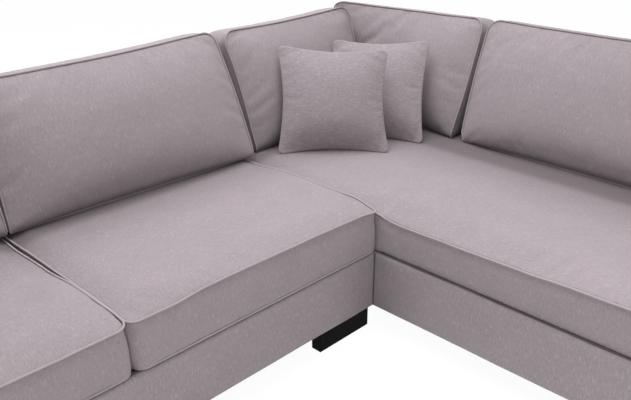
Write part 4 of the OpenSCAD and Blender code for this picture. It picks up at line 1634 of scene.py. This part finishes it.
        return [
            self.seat("seat_outer_left", (-1.869, 0.003), (-0.929, rear), (OUTER_LIP, OUTER_SIDE),
                      left),
            self.seat("seat_inner_left", (-0.927, 0.003), (0.013, rear), (LEFT_LIP, INNER_SIDE),
                      left, 0.012),
            self.seat("seat_long_right", (0.017, low), (PLAN.x_pad - PLAN.gap, rear),
                      (LONG_LIP,), right),
        ]

    def all_backs(self) -> list[Cushion]:
        """Lays out the five back cushions.

        Returns:
            The cushions, not made yet.
        """
        z0 = PLAN.cushion_bottom

        def left(x0: float) -> Place:
            """Places a cushion against the left wing's back from x0."""
            return lambda u, d, z: PLAN.row(x0 + u, PLAN.y_face + d, z0 + z)

        def right(y1: float) -> Place:
            """Places a cushion against the right wing's back, from y1 forwards."""
            return lambda u, d, z: PLAN.row(PLAN.x_face + d, y1 - u, z0 + z)

        corner_y = PLAN.y_pad - PLAN.gap
        return [
            self.lean_back("back_outer_left", 0.940, left(-1.867), (0.0105, 0.0105)),
            self.lean_back("back_inner_left", 0.946, left(-0.923), (0.012, 0.048),
                           tops=(-0.014, 0.0), top_draw=0.014, right_pull=-0.008),
            self.lean_back("back_corner_left", 0.6775, left(0.068), (0.0105, 0.0),
                           tops=(-0.009, 0.0), flare=0.024, low_shade=0.26),
            self.lean_back("back_corner_right", 0.5937, right(corner_y), (0.0, 0.042), turn=3.0,
                           left_wall=1.0, low_shade=0.26, right_pull=-0.006),
            self.lean_back("back_long_right", 1.114, right(0.170), (0.040, 0.048),
                           tops=(0.004, 0.020), flare=0.026, left_pull=-0.004,
                           right_pull=-0.012, foot=0.060),
        ]

    def scatter(self, name: str, x: float, y: float, turn: float, tilt: float,
                ears: Sequence[Flat]) -> Cushion:
        """A square knife-edge cushion that stands on its lower ears and leans back.

        Args:
            name: The node that it stands for.
            x: Where the middle of its lower edge stands, in the inner corner's frame.
            y: The same towards the back.
            turn: How far it is turned about the upright, in degrees.
            tilt: How far it leans back, in degrees.
            ears: How far each corner is drawn along u and v.

        Returns:
            The cushion.
        """
        side, floor = self.scatter_side, PLAN.cushion_bottom + 0.0002
        ct, st = math.cos(math.radians(turn)), math.sin(math.radians(turn))
        cl, sl = math.cos(math.radians(tilt)), math.sin(math.radians(tilt))

        def place(u: float, v: float, w: float) -> Vector:
            """Stands the cushion on the seat.

            Args:
                u: A point's u.
                v: Its v.
                w: Its w.

            Returns:
                Its place.
            """
            depth, up = -w, v + side / 2
            tuck = 0.045 * math.cos(math.pi * u / side) * max(0.0, -2 * v / side) ** 4
            d, z = depth * cl + up * sl + tuck, -depth * sl + up * cl
            return PLAN.row(x + u * ct - d * st, y + u * st + d * ct, PLAN.cushion_bottom + z)

        def room(p: Vector) -> Vector:
            """Keeps the cushion on the seat."""
            return Vector((p.x, p.y, max(p.z, floor)))

        return Cushion(name, name, name + "_body", side, side, place,
                       ((0.0012, 0.0), (-0.0012, 0.0)), radius=0.022, pull=0.017,
                       base_pull=0.005, crown=0.062, rear_crown=0.062, reach=0.200,
                       reach_up=0.200, start=0.72, cap=0.024, bulge=0.0, spacing=0.0085,
                       fill=0.75, rear_held=False, room=room, ears=ears)

    def build(self) -> None:
        """Makes, swells, pipes and dresses every cushion."""
        seats, backs = self.all_seats(), self.all_backs()
        scatters = [
            self.scatter("scatter_front", 0.264, 0.440, -43.5, 25.0,
                         ((-0.004, 0.0), (0.009, 0.0), (0.0, 0.010), (0.013, -0.012))),
            self.scatter("scatter_rear", 0.485, 0.427, -58.0, 30.0,
                         ((0.0, 0.0), (-0.010, 0.0), (0.0, 0.0), (-0.018, 0.014))),
        ]
        self.made = seats + backs + scatters
        for cushion in self.made:
            cushion.build()
        for cushion in self.made:
            cushion.puff_up()
        scene = bpy.context.scene
        for step in range(1, SWELL_FRAMES + 1):
            scene.frame_set(step)
        for cushion in self.made:
            cushion.take_up()
        scene.frame_set(1)
        for cushion in seats:
            cushion.finish(self.finishes.seat, "seat_fabric")
            # The seat piping's lighter cloth is a painted highlight.
            self.pipe(cushion, self.finishes.piping, "seat_fabric")
        for cushion in backs:
            cushion.finish(self.finishes.back, "back_fabric")
            self.pipe(cushion, self.finishes.back_piping, "back_fabric")
        for cushion in scatters:
            cushion.finish(self.finishes.scatter, "scatter_fabric")

    def pipe(self, cushion: Cushion, cloth: bpy.types.Material, slot: str) -> None:
        """Sews the piping round a cushion's rims.

        Args:
            cushion: The cushion.
            cloth: The piping's material.
            slot: The record's material slot.
        """
        loops = [cushion.rim_path(which) for which in cushion.piped]
        piece = Bench.tube("piping_" + cushion.name, loops, self.piping_radius)
        Bench.smooth(piece, 60.0)
        Bench.dress(piece, cloth, cushion.body, slot)


@dataclass
class Covers:
    """The cloth over the base, the arm and the back.

    Attributes:
        finishes: The materials.
        spacing: The mesh spacing along a cover.
        outline_spacing: The same round its section.
        wander: How unevenly a cover lies.
        piping_radius: Radius of the piping on the end panels.
        piping_inset: How far it lies inside a panel's outline.
        front_round: Radius of the base front's upper edge.
        back_round: Radius of the back's upper edge at the front.
        rear_round: The same at the rear.
        arm_round: Radius of the arm's upper edges.
        arm_facing_t: Thickness of the arm's facings.
        arm_top_t: Thickness of the arm's cover on top.
    """

    finishes: Finishes
    spacing: float = 0.045
    outline_spacing: float = 0.030
    wander: float = 0.0009
    piping_radius: float = 0.0028
    piping_inset: float = 0.0005
    front_round: float = 0.012
    back_round: float = 0.016
    rear_round: float = 0.020
    arm_round: float = 0.022
    arm_facing_t: float = 0.012
    arm_top_t: float = 0.025

    def settle(self, piece: Piece) -> None:
        """Lets a stretched cover lie a little unevenly over its boards.

        Args:
            piece: The cover.
        """
        normals = [v.normal.copy() for v in piece.data.vertices]
        for vertex, normal in zip(piece.data.vertices, normals):
            wave = lumps.noise(vertex.co * 6.0) + 0.5 * lumps.noise(vertex.co * 15.0)
            vertex.co += normal * (wave * self.wander - 0.25 * self.wander)
        piece.data.update()

    def wrap(self, name: str, section: Sequence[Flat], low: float, high: float, along: Axis,
             node: str, fill: float = 0.3, cloth: bpy.types.Material | None = None) -> Piece:
        """A cover with one section all along its length.

        Args:
            name: The piece's name.
            section: Outline in depth and height, of the inner corner's frame.
            low: Where it starts along its length.
            high: Where it ends.
            along: X for the left wing and the corner, Y for the right wing and the arm.
            node: The CAD node that it stands for.
            fill: How tightly it is padded.
            cloth: Its material, or None for the base's cloth.

        Returns:
            The piece.
        """
        count = max(2, round((high - low) / self.spacing))
        step = (high - low) / count
        corners = [self.spot(along, low, *point)
                   for point in divided(section, self.outline_spacing)]
        move = Vector((step, 0, 0) if along is Axis.X else (0, step, 0))
        piece = Bench.sweep(name, corners, move, count)
        self.settle(piece)
        Bench.weave_uv(piece)
        Bench.smooth(piece, 50.0)
        return Bench.dress(piece, cloth or self.finishes.base, ROOT, "base_fabric", (node,), fill)

    @staticmethod
    def spot(along: Axis, run: float, depth: float, z: float) -> Vector:
        """A point of a section in the row frame.

        Args:
            along: The way that the section is swept.
            run: The point's place along that way.
            depth: Its place across it.
            z: Its height.

        Returns:
            The point.
        """
        return PLAN.row(run, depth, z) if along is Axis.X else PLAN.row(depth, run, z)

    def front_section(self) -> list[Flat]:
        """The base's front cover: face, lip on the rail and turn under the base.

        Returns:
            The section.
        """
        p = PLAN
        outer = rounded(((0, p.foot_h), (p.turn_under, p.foot_h), (p.turn_under, p.deck),
                         (0, p.deck)), (p.skin, 0, 0, self.front_round))
        face = [point for point in outer if point[0] < p.turn_under]
        middle = (p.foot_h + p.deck) / 2
        foot = [point for point in face if point[1] < middle]
        head = [point for point in face if point[1] > middle]
        return foot + [(p.turn_under, p.foot_h), (p.turn_under, p.foot_h + p.skin),
                       (p.skin, p.foot_h + p.skin), (p.skin, p.rail_top),
                       (p.rail_lip, p.rail_top), (p.rail_lip, p.deck)] + head

    def back_section(self, pad: float, rear: float) -> list[Flat]:
        """The rear cover: padded top, rear face and the turn under the base.

        Args:
            pad: Depth of the padding's face.
            rear: Depth of the rear face.

        Returns:
            The section.
        """
        p = PLAN
        edge, top = pad + p.recline(p.pad_top), pad + p.recline(p.back_top)
        inside, turned = rear - p.skin, rear - p.turn_under
        return rounded(((edge, p.pad_top), (top, p.back_top), (rear, p.back_top),
                        (rear, p.foot_h), (turned, p.foot_h), (turned, p.foot_h + p.skin),
                        (inside, p.foot_h + p.skin), (inside, p.pad_top)),
                       (0, self.back_round, self.rear_round, p.skin, 0, 0, 0, 0))

    def pad_section(self, pad: float) -> list[Flat]:
        """The padding on the inside of the back.

        Args:
            pad: Depth of the padding's face.

        Returns:
            The section.
        """
        p = PLAN
        top, behind = p.recline(p.pad_top), pad + p.pad_t
        return [(pad, p.rail_top), (behind, p.rail_top), (behind, p.cushion_bottom),
                (behind + top, p.pad_top), (pad + top, p.pad_top), (pad, p.cushion_bottom)]

    def panel(self, name: str, outline: Sequence[Flat], low: float, high: float, along: Axis,
              node: str, piped: float | None = None) -> None:
        """A padded board that closes an end, with piping round its outer face.

        Args:
            name: The piece's name.
            outline: Its outline, of the inner corner's frame.
            low: Its inner or outer face along its thickness.
            high: The other face.
            along: The axis of its thickness.
            node: The CAD node that it stands for.
            piped: Where along its thickness the piping lies, or None for none.
        """
        self.wrap(name, outline, low, high, along, node)
        if piped is None:
            return
        inner = self.shrunk(divided(outline, 0.02), self.piping_inset)
        loop = [self.spot(along, piped, *point) for point in inner]
        piping = Bench.tube("piping_" + name, [loop], self.piping_radius)
        Bench.smooth(piping, 60.0)
        # The panel piping's lighter cloth is a painted highlight.
        Bench.dress(piping, self.finishes.piping, ROOT, "base_fabric")

    @staticmethod
    def shrunk(points: Sequence[Flat], inset: float) -> list[Flat]:
        """Draws a closed outline in towards its middle.

        Args:
            points: The outline's points.
            inset: How far each point moves.

        Returns:
            The moved points.
        """
        cx = sum(p[0] for p in points) / len(points)
        cy = sum(p[1] for p in points) / len(points)
        out = []
        for x, y in points:
            d = math.hypot(x - cx, y - cy)
            out.append((x - (x - cx) / d * inset, y - (y - cy) / d * inset))
        return out

    def end_outline(self, pad: float, rear: float, low: float) -> list[Flat]:
        """Outline of the whole back seen from its end.

        Args:
            pad: Depth of the padding's face.
            rear: Depth of the rear face.
            low: Height of its lower edge.

        Returns:
            The outline.
        """
        p = PLAN
        return rounded(((pad, low), (rear, low), (rear, p.back_top),
                        (pad + p.recline(p.back_top), p.back_top), (pad, p.cushion_bottom)),
                       (0, 0, self.rear_round, self.back_round, 0))

    def build(self) -> None:
        """Makes and dresses every cover."""
        p = PLAN
        arm_in = p.x_arm1 + p.gap
        post0 = arm_in + p.skin
        right0, right1 = p.open_end + p.skin, p.depth_left - p.skin
        left_runs = (post0, -p.gap, Axis.X)
        right_runs = (right0, right1, Axis.Y)
        # The front cloth carries painted shade under the seat cushions and in the inner corner.
        front, front_cloth_painted_shade = self.front_section(), self.finishes.front
        self.wrap("base_front_left", front, arm_in, -p.gap, Axis.X, "left_front_cover",
                  cloth=front_cloth_painted_shade)
        self.wrap("base_front_right", front, right0, 0.040, Axis.Y, "right_front_cover",
                  cloth=front_cloth_painted_shade)
        self.wrap("back_cover_left", self.back_section(p.y_pad, p.depth_left), *left_runs,
                  "left_back_cover")
        self.corner_cover()
        self.wrap("back_cover_right", self.back_section(p.x_pad, p.depth_right), *right_runs,
                  "right_back_cover")
        self.wrap("inner_pad_left", self.pad_section(p.y_pad), *left_runs, "left_back_pad", 0.7)
        self.wrap("inner_pad_right", self.pad_section(p.x_pad), *right_runs, "right_back_pad",
                  0.7)
        self.wrap("inner_pad_corner", self.pad_section(p.y_pad), p.gap, p.x_pad - p.gap, Axis.X,
                  "corner_back_pad", 0.7)
        self.arm()
        end = p.x_pad - p.gap
        base_end = rounded(((0, p.foot_h), (end, p.foot_h), (end, p.deck), (0, p.deck)),
                           (p.skin, 0, 0, self.front_round))
        self.panel("end_panel_base", base_end, p.open_end, right0, Axis.Y, "right_end_cover")
        self.panel("end_panel_back", self.end_outline(p.x_pad, p.depth_right, p.foot_h),
                   p.open_end, right0, Axis.Y, "right_back_end_cover", p.open_end + 0.0025)
        self.panel("end_panel_left", self.end_outline(p.y_pad, p.depth_left, p.rail_top), arm_in,
                   post0, Axis.X, "left_back_end_cover")

    def corner_cover(self) -> None:
        """The corner's rear cover, cut off where the right wing's back passes it."""
        p = PLAN
        piece = self.wrap("back_cover_corner", self.back_section(p.y_pad, p.depth_left), p.gap,
                          p.depth_right, Axis.X, "corner_back_cover")
        limit = p.row(p.x_pad, p.depth_left - p.skin, 0)
        for vertex in piece.data.vertices:
            wall = limit.x + p.recline(vertex.co.z)
            if vertex.co.y < limit.y - 0.0005 and vertex.co.x > wall:
                vertex.co.x = wall
        piece.data.update()

    def arm(self) -> None:
        """The arm's wrap and its two facings with their piping."""
        p = PLAN
        w0, w1, foot, top = p.x_arm0, p.x_arm1, p.foot_h, p.arm_h
        inside = top - self.arm_top_t
        wrap = rounded(((w0, foot), (w0 + p.skin, foot), (w0 + p.skin, inside),
                        (w1 - p.skin, inside), (w1 - p.skin, foot), (w1, foot), (w1, top),
                        (w0, top)), (0, 0, 0, 0, 0, 0, self.arm_round, self.arm_round))
        rear = p.depth_left - p.skin
        self.wrap("arm_wrap", wrap, self.arm_facing_t, rear, Axis.Y, "arm_cover", 0.4)
        facing = rounded(((w0, foot), (w1, foot), (w1, top), (w0, top)),
                         (0.004, 0.004, self.arm_round, self.arm_round))
        self.panel("arm_facing_front", facing, 0.0, self.arm_facing_t, Axis.Y,
                   "arm_front_facing", 0.0035)
        self.panel("arm_facing_rear", facing, rear, p.depth_left, Axis.Y, "arm_rear_facing",
                   p.depth_left - 0.0025)


@dataclass
class Decks:
    """The padded decks under the seat cushions and the cloths under the base.

    Attributes:
        finishes: The materials.
        step: The decks' mesh spacing.
        edge_round: Radius of a deck's upper edge.
        deck_sag: How far a deck sags between the springs.
        cloth_z: Height of the cloths under the base.
        cloth_t: Their thickness.
        cloth_sag: How far they sag.
        last_rail: Where the left wing's cloth ends, beside its last cross rail.
    """

    finishes: Finishes
    step: float = 0.08
    edge_round: float = 0.004
    deck_sag: float = 0.0015
    cloth_z: float = 0.0802
    cloth_t: float = 0.0008
    cloth_sag: float = 0.003
    last_rail: float = -0.0263

    def deck(self, name: str, node: str, low: Flat, high: Flat) -> None:
        """A deck pad with a rounded upper edge and a slight sag between the springs.

        Args:
            name: The piece's name.
            node: The CAD node that it stands for.
            low: Its low corner in the inner corner's frame.
            high: Its high corner.
        """
        piece = Bench.block(name, PLAN.row(*low, PLAN.rail_top), PLAN.row(*high, PLAN.deck))
        for axis in (0, 1):
            Bench.slice_up(piece, axis, self.step)
        top = PLAN.deck - 1e-5
        Bench.bevel(piece, self.edge_round, 3, lambda e: all(v.co.z > top for v in e.verts)
                    and len(e.link_faces) == 2 and abs(e.calc_face_angle(0)) > 1.0)
        for vertex in piece.data.vertices:
            if vertex.co.z > PLAN.deck - 0.0005:
                vertex.co.z -= self.deck_sag * (1 + lumps.noise(vertex.co * 9.0))
        Bench.smooth(piece, 50.0)
        Bench.dress(piece, self.finishes.deck, ROOT, "lining_cloth", (node,), 0.6)

    def underside(self, name: str, node: str, low: Flat, high: Flat) -> None:
        """A cloth stretched and stapled under the base, with a faint sag.

        Args:
            name: The piece's name.
            node: The CAD node that it stands for.
            low: Its low corner in the inner corner's frame.
            high: Its high corner.
        """
        a, b = PLAN.row(*low, self.cloth_z), PLAN.row(*high, self.cloth_z)
        wide, deep = b.x - a.x, b.y - a.y
        Bench.clear()
        bpy.ops.mesh.primitive_grid_add(x_subdivisions=40, y_subdivisions=24, size=1.0,
                                        location=(a + b) / 2)
        piece = bpy.context.object
        piece.name = piece.data.name = name
        piece.scale = (wide, deep, 1.0)
        bpy.ops.object.transform_apply(location=True, rotation=True, scale=True)
        for vertex in piece.data.vertices:
            s, t = (vertex.co.x - a.x) / wide, (vertex.co.y - a.y) / deep
            edge = min(s, 1 - s, t, 1 - t)
            vertex.co.z -= (self.cloth_sag * min(1.0, edge * 6)
                            * (1 + 0.5 * lumps.noise(vertex.co * 7.0)))
        wall = piece.modifiers.new("Wall", "SOLIDIFY")
        wall.thickness = self.cloth_t
        wall.offset = 0.0
        Bench.take(piece)
        bpy.ops.object.modifier_apply(modifier="Wall")
        Bench.smooth(piece, 50.0)
        Bench.dress(piece, self.finishes.lining, ROOT, "lining_cloth", (node,))

    def build(self) -> None:
        """Makes and dresses the decks and the cloths."""
        p = PLAN
        arm, end = p.x_arm1 + p.gap, p.open_end + p.skin
        lip, hem, pad = p.rail_lip + p.gap, p.turn_under + p.gap, p.y_pad - p.gap
        self.deck("deck_left", "left_deck_pad", (arm, lip), (-p.gap, pad))
        self.deck("deck_right", "right_deck_pad", (lip, end), (p.x_pad - p.gap, pad))
        self.underside("underside_left", "left_dust_cover", (arm, hem),
                       (self.last_rail, p.depth_left - hem))
        self.underside("underside_right", "right_dust_cover", (hem, end),
                       (p.depth_right - hem, p.depth_left - hem))


@dataclass
class Carcass:
    """The CAD's own rigid pieces, which only need their finish."""

    finishes: Finishes

    def dress(self) -> None:
        """Gives every carried CAD node its material by the record's slots."""
        f = self.finishes
        by_slot = {
            "frame_timber": f.timber, "fitting_steel": f.steel, "webbing": f.webbing,
            "lining_cloth": f.lining, "base_fabric": f.base, "foot_wood": f.foot,
            "seat_foam": f.foam, "seat_fabric": f.seat, "back_fabric": f.back,
            "scatter_fabric": f.scatter,
        }
        for part in FRAME["record"]["subparts"]:
            node = FRAME["nodes"][part["node"]]
            node.data.materials.clear()
            node.data.materials.append(by_slot[part["material_slot"]])
        LOG.info("carcass: %d nodes dressed", len(FRAME["nodes"]))


@dataclass(frozen=True)
class Lamp:
    """One large soft panel that looks at a point.

    Attributes:
        name: Its name.
        place: Where it hangs.
        target: The point that it looks at.
        size: Its side.
        power: Its power.
        spread: The angle of its beam, in degrees.
        colour: The colour of its light.
    """

    name: str
    place: tuple[float, float, float]
    target: tuple[float, float, float]
    size: float
    power: float
    spread: float = 180.0
    colour: Colour = (1.0, 0.99, 1.01)

    def hang(self) -> None:
        """Puts the lamp in its place."""
        data = bpy.data.lights.new(self.name, "AREA")
        data.color = self.colour
        data.shape = "SQUARE"
        data.size = self.size
        data.energy = self.power
        data.spread = math.radians(self.spread)
        lamp = bpy.data.objects.new(self.name, data)
        lamp.location = self.place
        aim = Vector(self.target) - Vector(self.place)
        lamp.rotation_euler = aim.to_track_quat("-Z", "Y").to_euler()
        bpy.context.collection.objects.link(lamp)


@dataclass
class Studio:
    """Pale floor, soft light and the camera at the photograph's angle.

    Attributes:
        lens: The camera's focal length in millimetres.
        sensor: The width of its picture in millimetres.
        place: Where it stands, in the inner corner's frame.
        pitch: How far it looks down, in degrees.
        heading: The way that it looks, in degrees.
        sky: Colour of the light from all round.
        sky_strength: Its strength.
        floor_grey: Colour of the floor under the lamps.
        floor_white: Strength of the floor's white where the camera sees it.
        floor_share: Share of that white, beside the lit floor with its shadow.
        lamps: The lamps.
    """

    lens: float = 43.70
    sensor: float = 36.0
    place: tuple[float, float, float] = (-1.7560, -1.4394, 1.4847)
    pitch: float = 24.09
    heading: float = -45.67
    sky: Colour = (1.0, 0.975, 0.955)
    sky_strength: float = 0.48
    floor_grey: Colour = (0.86, 0.86, 0.86)
    floor_white: float = 1.04
    floor_share: float = 0.92
    lamps: tuple[Lamp, ...] = (
        Lamp("front", (-1.7, -3.0, 1.1), (-1.1, 0.0, 0.4), 2.4, 11.0),
        Lamp("overhead", (0.3, 0.5, 3.3), (0.2, 0.3, 0.3), 2.2, 66.0),
        Lamp("behind", (1.4, 1.8, 3.3), (0.2, 0.2, 0.3), 3.8, 52.0),
        Lamp("floor_wash", (-0.3, -1.6, 2.2), (-0.3, -1.6, 0.0), 2.0, 8.0, 70.0),
    )

    def camera(self) -> None:
        """Sets up the camera."""
        data = bpy.data.cameras.new("camera")
        data.sensor_fit = "HORIZONTAL"
        data.sensor_width = self.sensor
        data.lens = self.lens
        data.clip_end = 100.0
        camera = bpy.data.objects.new("camera", data)
        camera.location = PLAN.row(*self.place)
        camera.rotation_euler = (math.radians(90 - self.pitch), 0.0, math.radians(self.heading))
        bpy.context.collection.objects.link(camera)
        bpy.context.scene.camera = camera

    def floor(self) -> None:
        """A pale floor that reads white but keeps a little of the sofa's shadow."""
        Bench.clear()
        bpy.ops.mesh.primitive_plane_add(size=60.0, location=(0.0, 0.0, 0.0))
        floor = bpy.context.object
        floor.name = floor.data.name = "floor"
        tree = NodeTree("pale_floor")
        tree.set(Base_Color=self.floor_grey, Roughness=0.9, Specular_IOR_Level=0.1)
        white = tree.glow("Emission", WHITE, self.floor_white)
        share = tree.times(tree.backdrop_ray(), self.floor_share)
        surface = tree.mix_shaders(share, tree.shader.outputs[0], white)
        tree.links.new(surface, tree.output.inputs["Surface"])
        floor.data.materials.append(tree.material)

    def world(self) -> None:
        """Soft light from all round, white where the camera looks past the sofa."""
        world = bpy.data.worlds.new("studio")
        bpy.context.scene.world = world
        world.use_nodes = True
        board = NodeBoard(world.node_tree)
        output = board.nodes.new("ShaderNodeOutputWorld")
        soft = board.glow("Background", self.sky, self.sky_strength)
        white = board.glow("Background", WHITE, 1.0)
        surface = board.mix_shaders(board.backdrop_ray(), soft, white)
        board.links.new(surface, output.inputs["Surface"])

    def build(self) -> None:
        """Sets up everything round the sofa."""
        self.camera()
        self.floor()
        self.world()
        for lamp in self.lamps:
            lamp.hang()
        bpy.context.scene.view_settings.view_transform = "Standard"


def main() -> None:
    """Builds the sub-assemblies in order and reports them."""
    logging.basicConfig(level=logging.INFO, format="%(name)s: %(message)s")
    # Blender would otherwise draw the vector noise's seed from the clock
    lumps.seed_set(WANDER_SEED)
    finishes = Finishes()
    Studio().build()
    Carcass(finishes).dress()
    Covers(finishes).build()
    Decks(finishes).build()
    CushionSet(finishes).build()


if __name__ == "__main__":
    main()
